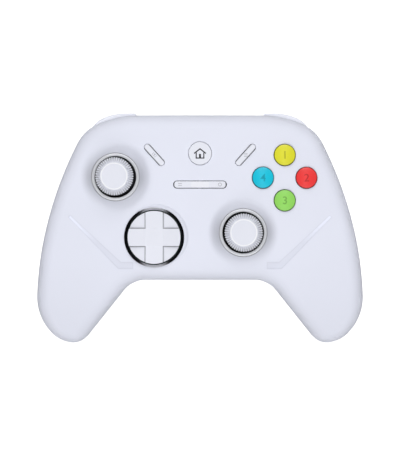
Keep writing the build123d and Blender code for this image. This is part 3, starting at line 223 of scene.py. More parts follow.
class GamepadStudio(bpy.types.PropertyGroup):
    """Camera and lights."""

    camera_height: length_setting("Camera height", "Camera above the floor", 728.0)
    lens: FloatProperty(name="Lens", description="Focal length in millimetres", default=116.7)
    overhead: FloatProperty(name="Overhead light", description="Power in watts", default=11.5)
    far_side: FloatProperty(name="Far light", description="Power in watts", default=1.2)
    near_side: FloatProperty(name="Near light", description="Power in watts", default=0.7)
    surround: FloatProperty(name="Surround", description="Brightness of the ends of the room",
                            default=0.75)
    dim_sides: FloatProperty(name="Dim sides", description="Brightness left and right",
                             default=0.06)
    floor_glow: FloatProperty(name="Floor glow", description="Light that the floor sends up",
                              default=0.22)


# Nodes

def feed(tree, socket, value):
    """Sets an input to a plain number, or links an output to it."""
    if isinstance(value, (int, float)):
        socket.default_value = value
    else:
        tree.links.new(value, socket)


def calc(tree, operation, first, second=None):
    """Math node fed by sockets or plain numbers."""
    node = tree.nodes.new("ShaderNodeMath")
    node.operation = operation
    feed(tree, node.inputs[0], first)
    if second is not None:
        feed(tree, node.inputs[1], second)
    return node.outputs["Value"]


def hypotenuse(tree, first, second):
    """Length of a step that has two parts at right angles."""
    return calc(tree, "SQRT", calc(tree, "ADD", calc(tree, "POWER", first, 2.0),
                                   calc(tree, "POWER", second, 2.0)))


def ramp(tree, value, start, end, smooth=False):
    """Rises from nought to one while a value goes from start to end."""
    node = tree.nodes.new("ShaderNodeMapRange")
    if smooth:
        node.interpolation_type = "SMOOTHSTEP"
    feed(tree, node.inputs["Value"], value)
    feed(tree, node.inputs["From Min"], start)
    feed(tree, node.inputs["From Max"], end)
    return node.outputs["Result"]


def spread(tree, share, low, high):
    """Value between two numbers for a share between nought and one."""
    node = tree.nodes.new("ShaderNodeMapRange")
    node.inputs["To Min"].default_value = low
    node.inputs["To Max"].default_value = high
    tree.links.new(share, node.inputs["Value"])
    return node.outputs["Result"]


def object_place(tree):
    """Object coordinates of the shaded point."""
    return tree.nodes.new("ShaderNodeTexCoord").outputs["Object"]


def axes_of(tree, place):
    """The X, Y and Z outputs of a place."""
    split = tree.nodes.new("ShaderNodeSeparateXYZ")
    tree.links.new(place, split.inputs["Vector"])
    return split.outputs


def offsets(tree, axes, middle_x, middle_y):
    """Steps across and along from a middle."""
    return (calc(tree, "SUBTRACT", axes["X"], middle_x),
            calc(tree, "SUBTRACT", axes["Y"], middle_y))


def noise(tree, place, scale, detail=2.0, roughness=0.5):
    """Value of a noise texture."""
    node = tree.nodes.new("ShaderNodeTexNoise")
    node.inputs["Detail"].default_value = detail
    node.inputs["Roughness"].default_value = roughness
    tree.links.new(place, node.inputs["Vector"])
    feed(tree, node.inputs["Scale"], scale)
    return node.outputs["Fac"]


def mixed(tree, first, second, mask, blend="MIX"):
    """First colour, mixed with the second or multiplied by it where a mask is one."""
    mix = tree.nodes.new("ShaderNodeMix")
    mix.data_type = "RGBA"
    mix.blend_type = blend
    for label, colour in (("A", first), ("B", second)):
        if isinstance(colour, bpy.types.NodeSocket):
            tree.links.new(colour, mix.inputs[label])
        else:
            mix.inputs[label].default_value = (*colour, 1.0)
    tree.links.new(mask, mix.inputs["Factor"])
    return mix.outputs["Result"]


def toned(tree, paint, mask, factor):
    """Colour multiplied by a factor where a mask is one."""
    return mixed(tree, paint, (factor, factor, factor), mask, "MULTIPLY")


# Groups

def value_group(name, inputs, outputs):
    """Empty node group, its named numbers and the inputs of its results."""
    group = bpy.data.node_groups.new(name, "ShaderNodeTree")
    for label, default in inputs:
        socket = group.interface.new_socket(label, in_out="INPUT", socket_type="NodeSocketFloat")
        socket.default_value = default
    for label in outputs:
        group.interface.new_socket(label, in_out="OUTPUT", socket_type="NodeSocketFloat")
    given = group.nodes.new("NodeGroupInput")
    result = group.nodes.new("NodeGroupOutput")
    return group, given.outputs, result.inputs


def grain_group():
    """Fine spark-eroded grain of moulded plastic, with a slow change of tone."""
    group, given, result = value_group("Moulded grain", (("Scale", 2600.0), ("Drift", 60.0)),
                                       ("Height", "Tone"))
    place = object_place(group)
    feed(group, result["Height"], noise(group, place, given["Scale"], 3.0, 0.65))
    feed(group, result["Tone"], noise(group, place, given["Drift"]))
    return group


def brushed_group():
    """Fine lines of drawn or brushed metal along one direction."""
    group, given, result = value_group("Drawn metal", (("Scale", 900.0),), ("Height", "Tone"))
    place = object_place(group)
    stretch = group.nodes.new("ShaderNodeMapping")
    stretch.inputs["Scale"].default_value = (0.08, 1.0, 1.0)
    feed(group, stretch.inputs["Vector"], place)
    lines = noise(group, stretch.outputs["Vector"], given["Scale"], 4.0)
    feed(group, result["Height"], lines)
    feed(group, result["Tone"], noise(group, place, 240.0))
    return group


def seam_group():
    """Line where the two shells meet: level, then bending down into the grips."""
    group, given, result = value_group(
        "Body seam", (("Level", 25 * MM), ("Bend start", -17.5 * MM), ("Bend radius", 62 * MM),
                      ("Width", 0.3 * MM)), ("Line",))
    axes = axes_of(group, object_place(group))
    past = calc(group, "MAXIMUM", calc(group, "SUBTRACT", given["Bend start"], axes["Y"]), 0.0)
    square = calc(group, "POWER", given["Bend radius"], 2.0)
    under = calc(group, "SUBTRACT", square, calc(group, "POWER", past, 2.0))
    drop = calc(group, "SUBTRACT", given["Bend radius"], calc(group, "SQRT", under))
    height = calc(group, "SUBTRACT", given["Level"], drop)
    apart = calc(group, "ABSOLUTE", calc(group, "SUBTRACT", axes["Z"], height))
    near = calc(group, "SUBTRACT", 1.0, calc(group, "DIVIDE", apart, given["Width"]))
    feed(group, result["Line"], calc(group, "MAXIMUM", near, 0.0))
    return group


def round_shade_group():
    """Mask of painted shade that fades outwards from a round well, and its part left and right
    of the well.
    """
    group, given, result = value_group(
        "Round shade", (("Middle X", 0.0), ("Middle Y", 0.0), ("Inner", 11 * MM),
                        ("Outer", 16.5 * MM), ("Lowest", 0.0)), ("Mask", "Sides"))
    axes = axes_of(group, object_place(group))
    across, along = offsets(group, axes, given["Middle X"], given["Middle Y"])
    radius = hypotenuse(group, across, along)
    fade = ramp(group, radius, given["Outer"], given["Inner"], smooth=True)
    above = calc(group, "GREATER_THAN", axes["Z"], given["Lowest"])
    mask = calc(group, "MULTIPLY", fade, above)
    lean = calc(group, "POWER", calc(group, "DIVIDE", across, radius), 2.0)
    feed(group, result["Mask"], mask)
    feed(group, result["Sides"], calc(group, "MULTIPLY", mask, lean))
    return group


def slot_rim_group():
    """Mask of painted shade along the edge of a round-ended slot, as seen from above."""
    group, given, result = value_group(
        "Slot rim", (("Middle X", 0.0), ("Middle Y", 0.0), ("Way X", 1.0), ("Way Y", 0.0),
                     ("Half run", 0.0), ("Radius", 1.5 * MM), ("Width", 0.5 * MM)), ("Mask",))
    axes = axes_of(group, object_place(group))
    across, along = offsets(group, axes, given["Middle X"], given["Middle Y"])
    run = calc(group, "ADD", calc(group, "MULTIPLY", across, given["Way X"]),
               calc(group, "MULTIPLY", along, given["Way Y"]))
    side = calc(group, "SUBTRACT", calc(group, "MULTIPLY", across, given["Way Y"]),
                calc(group, "MULTIPLY", along, given["Way X"]))
    past = calc(group, "SUBTRACT", calc(group, "ABSOLUTE", run), given["Half run"])
    reach = hypotenuse(group, calc(group, "MAXIMUM", past, 0.0), side)
    inside = calc(group, "SUBTRACT", given["Radius"], given["Width"])
    feed(group, result["Mask"], ramp(group, reach, inside, given["Radius"]))
    return group


def line_side(tree, across, along, start, end):
    """Distance of a point to the left of the line from start to end."""
    length = math.dist(start, end)
    slope_x = (start[1] - end[1]) / length
    slope_y = (end[0] - start[0]) / length
    offset = -(slope_x * start[0] + slope_y * start[1])
    far = calc(tree, "ADD", calc(tree, "MULTIPLY", across, slope_x),
               calc(tree, "MULTIPLY", along, slope_y))
    return calc(tree, "ADD", far, offset)


def smallest(tree, *values):
    """Least of several sockets."""
    least = values[0]
    for value in values[1:]:
        least = calc(tree, "MINIMUM", least, value)
    return least


def channel_group(corners):
    """Masks of painted light along the channel of each grip: painted shade on its floor and
    along its edge, and a painted highlight on its upper strip.
    """
    top, bend, end_low, end_high, inner_bend, inner_top = corners
    group, given, result = value_group("Grip channel", (("Edge", 0.35 * MM),),
                                       ("Floor", "Line", "Strip"))
    axes = axes_of(group, object_place(group))
    across = calc(group, "ABSOLUTE", axes["X"])
    along = axes["Y"]
    lines = ((bend, top), (inner_top, inner_bend), (top, inner_top), (end_low, bend),
             (inner_bend, end_high), (end_high, end_low))
    outer, inner, cap, low, high, end = (line_side(group, across, along, *line)
                                         for line in lines)
    slanted = smallest(group, outer, inner, cap, low)
    foot = smallest(group, outer, low, high, end)
    within = calc(group, "MAXIMUM", slanted, foot)
    above = calc(group, "GREATER_THAN", axes["Z"], FACE_LEVEL)
    floor = calc(group, "MULTIPLY", calc(group, "GREATER_THAN", within, 0.0), above)
    upper = ramp(group, along, (top[1] + bend[1]) / 2, top[1])
    near = calc(group, "DIVIDE", calc(group, "ABSOLUTE", within), given["Edge"])
    line = calc(group, "MAXIMUM", calc(group, "SUBTRACT", 1.0, near), 0.0)
    # Floor and line carry painted shade, the upper strip a painted highlight
    feed(group, result["Floor"], floor)
    feed(group, result["Strip"], calc(group, "MULTIPLY", upper, floor))
    feed(group, result["Line"], calc(group, "MULTIPLY", line, above))
    return group


# Materials

def shaded(colour, factor):
    """A colour made darker or lighter by a factor."""
    return tuple(min(1.0, part * factor) for part in colour)


def new_finish(name, roughness, metallic=0.0, coat=0.0):
    """Material with a Principled shader whose even values are already set."""
    finish = bpy.data.materials.new(name)
    finish.use_nodes = True
    shader = finish.node_tree.nodes["Principled BSDF"]
    shader.inputs["Roughness"].default_value = roughness
    shader.inputs["Metallic"].default_value = metallic
    shader.inputs["Coat Weight"].default_value = coat
    shader.inputs["Coat Roughness"].default_value = 0.12
    shader.inputs["Specular IOR Level"].default_value = 0.5
    return finish, finish.node_tree, shader


def place_group(tree, name, values):
    """Outputs of a group node with its own values."""
    node = tree.nodes.new("ShaderNodeGroup")
    node.node_tree = groups[name]
    for label, value in values.items():
        node.inputs[label].default_value = value
    return node.outputs


def tone_colour(tree, low, high, factor, shader):
    """Base colour that drifts between two near tones."""
    tree.links.new(mixed(tree, low, high, factor), shader.inputs["Base Color"])


def rough_range(tree, factor, low, high, shader):
    """Roughness that drifts between two values."""
    tree.links.new(spread(tree, factor, low, high), shader.inputs["Roughness"])


def bump(tree, height, strength, distance, shader):
    """Raised detail on the shader's normal."""
    node = tree.nodes.new("ShaderNodeBump")
    node.inputs["Strength"].default_value = strength
    node.inputs["Distance"].default_value = distance
    tree.links.new(height, node.inputs["Height"])
    tree.links.new(node.outputs["Normal"], shader.inputs["Normal"])


def moulded(name, colour, roughness, depth, *layers, grain=2600.0, drift=60.0, coat=0.0,
            tones=(0.975, 1.025), gloss=(0.05, 0.05), strength=0.35):
    """Moulded plastic or rubber: fine grain, slow changes of tone and gloss, then its layers."""
    finish, tree, shader = new_finish(name, roughness, coat=coat)
    surface = place_group(tree, "grain", {"Scale": grain, "Drift": drift})
    low, high = (shaded(colour, tone) for tone in tones)
    paint = mixed(tree, low, high, surface["Tone"])
    for layer in layers:
        paint = layer(tree, paint)
    tree.links.new(paint, shader.inputs["Base Color"])
    rough_range(tree, surface["Tone"], roughness - gloss[0], roughness + gloss[1], shader)
    bump(tree, surface["Height"], strength, depth, shader)
    return finish


def round_shade(part, factor, centre, inner, outer, lowest=0.0):
    """Layer that darkens the area round a centre with painted shade."""
    def layer(tree, paint):
        shade = place_group(tree, "shade", {"Middle X": centre.x, "Middle Y": centre.y,
                                            "Inner": inner, "Outer": outer, "Lowest": lowest})
        return toned(tree, paint, shade[part], factor)
    return layer


def slot_rim(centre, way, half_run, radius):
    """Layer with a grey line of painted shade at the edge of a slot-shaped button."""
    def layer(tree, paint):
        rim = place_group(tree, "rim", {"Middle X": centre.x, "Middle Y": centre.y,
                                        "Way X": way.x, "Way Y": way.y,
                                        "Half run": half_run, "Radius": radius})
        return toned(tree, paint, rim["Mask"], SLOT_RIM_PAINTED_SHADE_TONE)
    return layer


def cap_bands(centre, colours, trim_radius):
    """Layer of a stick cap: painted shade in grey between the ribs, a dark neck below and a
    bright circle.
    """
    def layer(tree, paint):
        axes = axes_of(tree, object_place(tree))
        radius = hypotenuse(tree, *offsets(tree, axes, centre.x, centre.y))
        groove_shade_band = ramp(tree, radius, *GROOVE_RADII)
        below = calc(tree, "LESS_THAN", axes["Z"], centre.z - NECK_DROP)
        apart = calc(tree, "ABSOLUTE", calc(tree, "SUBTRACT", radius, trim_radius))
        circle = ramp(tree, apart, *CIRCLE_FADE)
        for mask, colour in ((groove_shade_band, colours.groove), (below, colours.dark),
                             (circle, colours.circle)):
            paint = mixed(tree, paint, colour, mask)
        return paint
    return layer


def pad_creases(centre, arm, colour):
    """Layer of the direction pad: soft dark creases of painted shade where the cross's arms
    rise.
    """
    def layer(tree, paint):
        axes = axes_of(tree, object_place(tree))
        across, along = (calc(tree, "ABSOLUTE", step)
                         for step in offsets(tree, axes, centre.x, centre.y))
        past = calc(tree, "SUBTRACT", calc(tree, "MINIMUM", across, along), arm)
        near = ramp(tree, calc(tree, "ABSOLUTE", past), *CREASE_FADE)
        beyond = calc(tree, "GREATER_THAN", calc(tree, "MAXIMUM", across, along),
                      arm - CREASE_START)
        outside = calc(tree, "GREATER_THAN", past, -CREASE_OVERLAP)
        painted_crease = calc(tree, "MULTIPLY", calc(tree, "MULTIPLY", near, beyond), outside)
        return mixed(tree, paint, shaded(colour, CREASE_PAINTED_SHADE_TONE), painted_crease)
    return layer


def shell_finish(name, colour, sizes):
    """Shell plastic with its seam, painted shade and a painted highlight along the grip
    channels, and painted shade in the wells.
    """
    finish, tree, shader = new_finish(name, 0.55)
    grain = place_group(tree, "grain", {"Scale": 2600.0, "Drift": 45.0})
    seam = place_group(tree, "seam", {"Width": sizes.seam})["Line"]
    channel = place_group(tree, "channel", {"Edge": sizes.channel_edge})
    paint = mixed(tree, shaded(colour, 0.985), shaded(colour, 1.015), grain["Tone"])
    paint = toned(tree, paint, seam, SEAM_TONE)
    # Painted shade on the channel's floor and edge, and a painted highlight on its upper strip
    for part, factor in CHANNEL_PAINTED_LIGHT_TONES:
        paint = toned(tree, paint, channel[part], factor)
    # Painted shade in each stick's well, darkest left and right of the stick
    for side in SIDES:
        well = round_shade("Sides", WELL_PAINTED_SHADE_TONE, middle_of(side + "_stick_ring"),
                           sizes.well_inner, sizes.well_outer, FACE_LEVEL)
        paint = well(tree, paint)
    tree.links.new(paint, shader.inputs["Base Color"])
    rough_range(tree, grain["Tone"], 0.5, 0.6, shader)
    ground = calc(tree, "MULTIPLY", grain["Height"], 0.12)
    bump(tree, calc(tree, "SUBTRACT", ground, seam), 0.5, 0.1 * MM, shader)
    return finish


def metal(name, colour, roughness):
    """Bare metal with drawn lines and slightly uneven gloss."""
    finish, tree, shader = new_finish(name, roughness, metallic=1.0)
    drawn = place_group(tree, "brushed", {"Scale": 900.0})
    tone_colour(tree, shaded(colour, 0.9), shaded(colour, 1.08), drawn["Tone"], shader)
    rough_range(tree, drawn["Tone"], roughness - 0.06, roughness + 0.08, shader)
    bump(tree, drawn["Height"], 0.15, 0.02 * MM, shader)
    return finish


def chrome_ring(name, dark, bright, centre):
    """Polished ring with painted reflection: dark on the left and right, bright at its far and
    near ends.
    """
    finish, tree, shader = new_finish(name, 0.12, metallic=1.0)
    across, along = offsets(tree, axes_of(tree, object_place(tree)), centre.x, centre.y)
    share = calc(tree, "DIVIDE", calc(tree, "ABSOLUTE", along), hypotenuse(tree, across, along))
    ends = ramp(tree, share, *CHROME_HIGHLIGHT_SHARES, smooth=True)
    tone_colour(tree, dark, bright, ends, shader)
    loss = calc(tree, "MULTIPLY", ends, CHROME_HIGHLIGHT_LOSS)
    tree.links.new(calc(tree, "SUBTRACT", 1.0, loss), shader.inputs["Metallic"])
    drawn = place_group(tree, "brushed", {"Scale": 300.0})
    rough_range(tree, drawn["Tone"], 0.08, 0.16, shader)
    bump(tree, drawn["Height"], 0.1, 0.01 * MM, shader)
    return finish


def board_finish(colours):
    """Circuit board: green mask over a grid of tracks."""
    finish, tree, shader = new_finish("Circuit board", 0.35, coat=0.3)
    cells = tree.nodes.new("ShaderNodeTexVoronoi")
    cells.distance = "CHEBYCHEV"
    cells.inputs["Scale"].default_value = 520.0
    tree.links.new(object_place(tree), cells.inputs["Vector"])
    tracks = calc(tree, "GREATER_THAN", cells.outputs["Distance"], 0.42)
    tone_colour(tree, colours.board, colours.track, tracks, shader)
    bump(tree, tracks, 0.2, 0.03 * MM, shader)
    return finish


def foil_finish(colours):
    """Battery pouch: creased foil."""
    finish, tree, shader = new_finish("Cell foil", 0.32, metallic=0.9)
    creases = noise(tree, object_place(tree), 130.0, 5.0)
    tone_colour(tree, colours.foil, colours.foil_bright, creases, shader)
    bump(tree, creases, 0.3, 0.4 * MM, shader)
    return finish


def light_finish(name, colour, glow):
    """Milky window with a faint light behind it."""
    finish, tree, shader = new_finish(name, 0.3, coat=0.4)
    grain = place_group(tree, "grain", {"Scale": 900.0, "Drift": 160.0})
    tone_colour(tree, shaded(colour, 0.97), colour, grain["Tone"], shader)
    shader.inputs["Emission Color"].default_value = (*colour, 1.0)
    shader.inputs["Emission Strength"].default_value = glow
    return finish


def dress(finish, *nodes):
    """Gives CAD nodes a finish."""
    for name in nodes:
        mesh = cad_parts[name].data
        mesh.materials.clear()
        mesh.materials.append(finishes[finish])


# Meshes

def add_piece(name, bm, finish, body):
    """Object from a finished bmesh, riding on a body."""
    bmesh.ops.recalc_face_normals(bm, faces=bm.faces)
    mesh = bpy.data.meshes.new(name)
    bm.to_mesh(mesh)
    bm.free()
    mesh.materials.append(finishes[finish])
    piece = bpy.data.objects.new(name, mesh)
    bpy.context.scene.collection.objects.link(piece)
    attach(piece, body)


def spin_ring(bm, profile, centre, steps):
    """Closed ring from a closed profile of (radius, height) points, spun about a centre."""
    corners = [bm.verts.new((centre.x + r, centre.y, z)) for r, z in profile]
    edges = [bm.edges.new((a, b)) for a, b in zip(corners, corners[1:] + corners[:1])]
    bmesh.ops.spin(bm, geom=corners + edges, cent=(centre.x, centre.y, 0),
                   axis=(0, 0, 1), angle=math.tau, steps=steps, use_merge=True)
    bmesh.ops.remove_doubles(bm, verts=bm.verts, dist=1e-7)


def domed_face(name, ring, steps_from_rim, rise, finish):
    """Rounded face on top of a ring, from a bore to a rim of its own."""
    centre = middle_of(ring)
    inner, outer = (half_size(ring).x + step for step in steps_from_rim)
    middle = (inner + outer) / 2
    half = (outer - inner) / 2
    shares = [1 - k / DOME_STEPS for k in range(2 * DOME_STEPS + 1)]
    profile = [(middle + half * share, centre.z + rise * (1 - share * share))
               for share in shares]
    profile += [(inner, centre.z - rise), (outer, centre.z - rise)]
    bm = bmesh.new()
    spin_ring(bm, profile, centre, DOME_SEGMENTS)
    for face in bm.faces:
        face.smooth = abs(face.normal.z) > 0.05
    add_piece(name, bm, finish, "housing")


def flat_ring(bm, centre, outer, inner, segments=48):
    """Flat ring of faces about a centre."""
    edge = bmesh.ops.create_circle(bm, radius=outer, segments=segments,
                                   matrix=Matrix.Translation(centre))["verts"]
    rim = list({e for v in edge for e in v.link_edges})
    grown = bmesh.ops.extrude_edge_only(bm, edges=rim)["geom"]
    inside = [v for v in grown if isinstance(v, bmesh.types.BMVert)]
    bmesh.ops.scale(bm, verts=inside, vec=(inner / outer, inner / outer, 1.0),
                    space=Matrix.Translation(-centre))


def flat_bars(bm, centre, bars):
    """Flat bars of one face each, placed and turned about a centre."""
    for across, along, length, width, degrees in bars:
        place = centre + Vector((across * MM, along * MM, 0.0))
        turn = Matrix.Translation(place) @ Matrix.Rotation(math.radians(degrees), 4, "Z")
        size = Matrix.Diagonal((length * MM, width * MM, 1.0, 1.0))
        bmesh.ops.create_grid(bm, x_segments=1, y_segments=1, size=0.5, matrix=turn @ size)


def thicken(bm, depth):
    """Closes flat faces into a slab that reaches down by a depth."""
    grown = bmesh.ops.extrude_face_region(bm, geom=list(bm.faces))["geom"]
    lower = [v for v in grown if isinstance(v, bmesh.types.BMVert)]
    bmesh.ops.translate(bm, verts=lower, vec=(0.0, 0.0, -depth))


def digit_mesh(text, height):
    """Flat mesh of a plain number, its middle at the origin."""
    curve = bpy.data.curves.new("digit", type="FONT")
    curve.body = text
    curve.size = height
    curve.align_x = "CENTER"
    curve.offset = height * DIGIT_BOLD
    helper = bpy.data.objects.new("digit", curve)
    mesh = bpy.data.meshes.new_from_object(helper)
    bpy.data.objects.remove(helper)
    bm = bmesh.new()
    bm.from_mesh(mesh)
    bpy.data.meshes.remove(mesh)
    xs = [v.co.x for v in bm.verts]
    ys = [v.co.y for v in bm.verts]
    middle = Vector(((min(xs) + max(xs)) / 2, (min(ys) + max(ys)) / 2, 0.0))
    bmesh.ops.translate(bm, verts=bm.verts, vec=-middle)
    return bm


# Operators

class GAMEPAD_OT_finishes(bpy.types.Operator):
    """Make the shared effects and the finishes"""

    bl_idname = "gamepad.finishes"
    bl_label = "Finishes"

    def execute(self, context):
        colours = context.scene.gamepad_colours
        sizes = context.scene.gamepad_sizes
        low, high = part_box("front_shell")
        corners = [(across * high.x, along * (high.y if along > 0 else -low.y))
                   for across, along in CHANNEL_SHARES]
        groups.update(grain=grain_group(), seam=seam_group(), brushed=brushed_group(),
                      shade=round_shade_group(), channel=channel_group(corners),
                      rim=slot_rim_group())
        white = colours.button
        finishes.update(
            shell=shell_finish("Body plastic", colours.shell, sizes),
            button=moulded("White button plastic", white, 0.42, 0.02 * MM),
            pad=moulded("Direction pad plastic", white, 0.42, 0.02 * MM,
                        pad_creases(middle_of("dpad_cap"), sizes.pad_arm, white)),
            rib=moulded("Ribbed rubber", colours.stick, 0.62, 0.03 * MM, grain=3600.0),
            trim=moulded("Bright trim", shaded(white, 1.12), 0.3, 0.01 * MM, coat=0.3),
            dark=moulded("Dark plastic", colours.dark, 0.45, 0.03 * MM),
            chrome=chrome_ring("Dark chrome", colours.chrome, colours.chrome_ends,
                               middle_of("dpad_ring")),
            edge=moulded("Ring edge", colours.edge, 0.4, 0.01 * MM),
            bumper=moulded("Bumper plastic", shaded(white, 1.1), 0.42, 0.02 * MM),
            mark=moulded("Printed mark", colours.mark, 0.5, 0.01 * MM),
            emblem=moulded("Dark mark", colours.emblem, 0.5, 0.01 * MM),
            window=light_finish("Milky window", colours.window, 0.02),
            steel=metal("Bright steel", colours.steel, 0.3),
            brass=metal("Weight brass", colours.brass, 0.34),
            frame=moulded("Grey plastic", colours.inner, 0.5, 0.03 * MM),
            silicone=moulded("Silicone mat", colours.mat, 0.7, 0.03 * MM),
            board=board_finish(colours),
            foil=foil_finish(colours),
        )
        for side in SIDES:
            # Satin face on each stick's ring: a lightened white with painted shade on its left
            # and right
            finishes[side + "_bezel"] = moulded(
                side.capitalize() + " ring satin", shaded(white, 1.2), 0.28, 0.01 * MM,
                round_shade("Sides", BEZEL_PAINTED_SHADE_TONE, middle_of(side + "_stick_ring"),
                            sizes.well_outer, sizes.well_outer + MM),
                grain=3800.0, drift=120.0, coat=0.3, tones=(0.96, 1.03), gloss=(0.04, 0.06),
                strength=0.2)
            finishes[side + "_cap"] = moulded(
                side.capitalize() + " cap rubber", colours.stick, 0.6, 0.06 * MM,
                cap_bands(middle_of(side + "_stick_cap"), colours, sizes.trim_radius),
                grain=3200.0, drift=90.0, tones=(0.97, 1.02), gloss=(0.05, 0.06), strength=0.4)
        for place in FACE_BUTTON_SLOTS:
            colour = getattr(colours, place)
            darkest, clear = (sizes.button_radius - step for step in BUTTON_RIM_SHADE)
            # Painted shade on the button's rim, where it meets the gap round it
            rim = round_shade("Mask", ROUND_RIM_PAINTED_SHADE_TONE, middle_of("face_button_" + place),
                              darkest, clear)
            finishes[place] = moulded(place + " button plastic", colour, 0.36, 0.01 * MM, rim,
                                      coat=0.25)
            # Numbers darker than their button: painted shade of an engraved number
            finishes[place + "_digit"] = moulded(place + " number", shaded(colour, 0.62), 0.4,
                                                 0.01 * MM)
        return {"FINISHED"}


class GAMEPAD_OT_body(bpy.types.Operator):
    """Finish the two shells, the bumpers and the triggers"""

    bl_idname = "gamepad.body"
    bl_label = "Body"

    def execute(self, context):
        dress("shell", "front_shell", "rear_shell")
        dress("bumper", "left_bumper", "right_bumper")
        dress("button", "left_trigger", "right_trigger")
        dress("steel", "charging_port", "shell_screws", "trigger_pins", "trigger_springs")
        dress("dark", "headset_socket")
        return {"FINISHED"}


class GAMEPAD_OT_sticks(bpy.types.Operator):
    """Finish the thumb sticks and cut their ribbed bands"""

    bl_idname = "gamepad.sticks"
    bl_label = "Thumb sticks"

    def execute(self, context):
        sizes = context.scene.gamepad_sizes
        for side in SIDES:
            stick = side + "_stick"
            centre = middle_of(stick + "_cap")
            dress(side + "_cap", stick + "_cap")
            dress("edge", stick + "_ring")
            dress("steel", stick + "_module")
            dress("frame", stick + "_plunger", stick + "_lower_yoke", stick + "_upper_yoke",
                  stick + "_stem")
            self.ribbed_band(stick, centre, sizes)
            self.trim_circle(stick, centre, sizes)
            domed_face(stick + "_bezel", stick + "_ring", STICK_BEZEL, sizes.bezel_rise,
                       side + "_bezel")
        return {"FINISHED"}

    def ribbed_band(self, stick, centre, sizes):
        """Ribs on the slope from the cap's rim up to its crown, narrower towards the crown"""
        slope = CAP_CROWN - CAP_RIM
        outward = Vector((slope.y, -slope.x)).normalized()
        bm = bmesh.new()
        rib = bmesh.ops.create_cube(bm, size=1.0)["verts"]
        for vert in rib:
            share = vert.co.x + 0.5
            raised = vert.co.z > 0
            width = sizes.rib_width * (1.0 - RIB_TAPER * share) * (RIB_CREST if raised else 1.0)
            lift = sizes.rib_height if raised else -RIB_SUNK
            place = CAP_RIM + slope * share + outward * lift
            side_step = width * (0.5 if vert.co.y > 0 else -0.5)
            vert.co = centre + Vector((place.x, side_step, place.y))
        bmesh.ops.spin(bm, geom=list(bm.verts) + list(bm.edges) + list(bm.faces),
                       cent=(centre.x, centre.y, 0), axis=(0, 0, 1),
                       angle=math.tau, steps=sizes.rib_count, use_duplicate=True)
        bmesh.ops.delete(bm, geom=rib, context="VERTS")
        add_piece(stick + "_ribs", bm, "rib", stick)

    def trim_circle(self, stick, centre, sizes):
        """Thin round ring with its top level with the highest point of the cap"""
        radius = sizes.trim_width / 2
        turns = [math.tau * k / TRIM_SIDES for k in range(TRIM_SIDES)]
        profile = [(sizes.trim_radius + radius * math.cos(turn),
                    centre.z - radius + radius * math.sin(turn)) for turn in turns]
        bm = bmesh.new()
        spin_ring(bm, profile, centre, TRIM_SEGMENTS)
        for face in bm.faces:
            face.smooth = True
        add_piece(stick + "_trim", bm, "trim", stick)


class GAMEPAD_OT_pad(bpy.types.Operator):
    """Finish the direction pad and its ring"""

    bl_idname = "gamepad.pad"
    bl_label = "Direction pad"

    def execute(self, context):
        dress("pad", "dpad_cap")
        dress("chrome", "dpad_ring")
        dress("frame", "dpad_post", "dpad_rocker")
        dress("silicone", "dpad_mat")
        # The domed face on the pad's ring shares the painted reflection of the polished ring
        domed_face("dpad_bezel", "dpad_ring", PAD_BEZEL,
                   context.scene.gamepad_sizes.bezel_rise, "chrome")
        return {"FINISHED"}


class GAMEPAD_OT_face_buttons(bpy.types.Operator):
    """Finish the four round buttons and number them"""

    bl_idname = "gamepad.face_buttons"
    bl_label = "Face buttons"

    def execute(self, context):
        sizes = context.scene.gamepad_sizes
        dress("silicone", "face_button_mat")
        for digit, (place, slot) in enumerate(FACE_BUTTON_SLOTS.items(), start=1):
            node = "face_button_" + place
            dress(place, node)
            bm = digit_mesh(str(digit), sizes.digit_height)
            self.cut_finely(bm, DIGIT_CUT)
            thicken(bm, DIGIT_DEPTH)
            self.lay_on_dome(bm, middle_of(node), sizes)
            add_piece(node + "_number", bm, place + "_digit", node)
        return {"FINISHED"}

    def cut_finely(self, bm, step):
        """Cuts flat faces into squares, so that they can follow a dome"""
        reach = max(max(abs(v.co.x), abs(v.co.y)) for v in bm.verts)
        count = int(reach / step)
        for axis in (Vector((1, 0, 0)), Vector((0, 1, 0))):
            for place in range(-count, count + 1):
                geom = list(bm.verts) + list(bm.edges) + list(bm.faces)
                bmesh.ops.bisect_plane(bm, geom=geom, plane_co=axis * place * step,
                                       plane_no=axis)

    def lay_on_dome(self, bm, centre, sizes):
        """Moves a flat mesh at the origin onto a button's dome"""
        for vert in bm.verts:
            reach = vert.co.x**2 + vert.co.y**2
            sag = sizes.dome_radius - math.sqrt(sizes.dome_radius**2 - reach)
            vert.co.z += centre.z - sag + sizes.ink
            vert.co.x += centre.x
            vert.co.y += centre.y


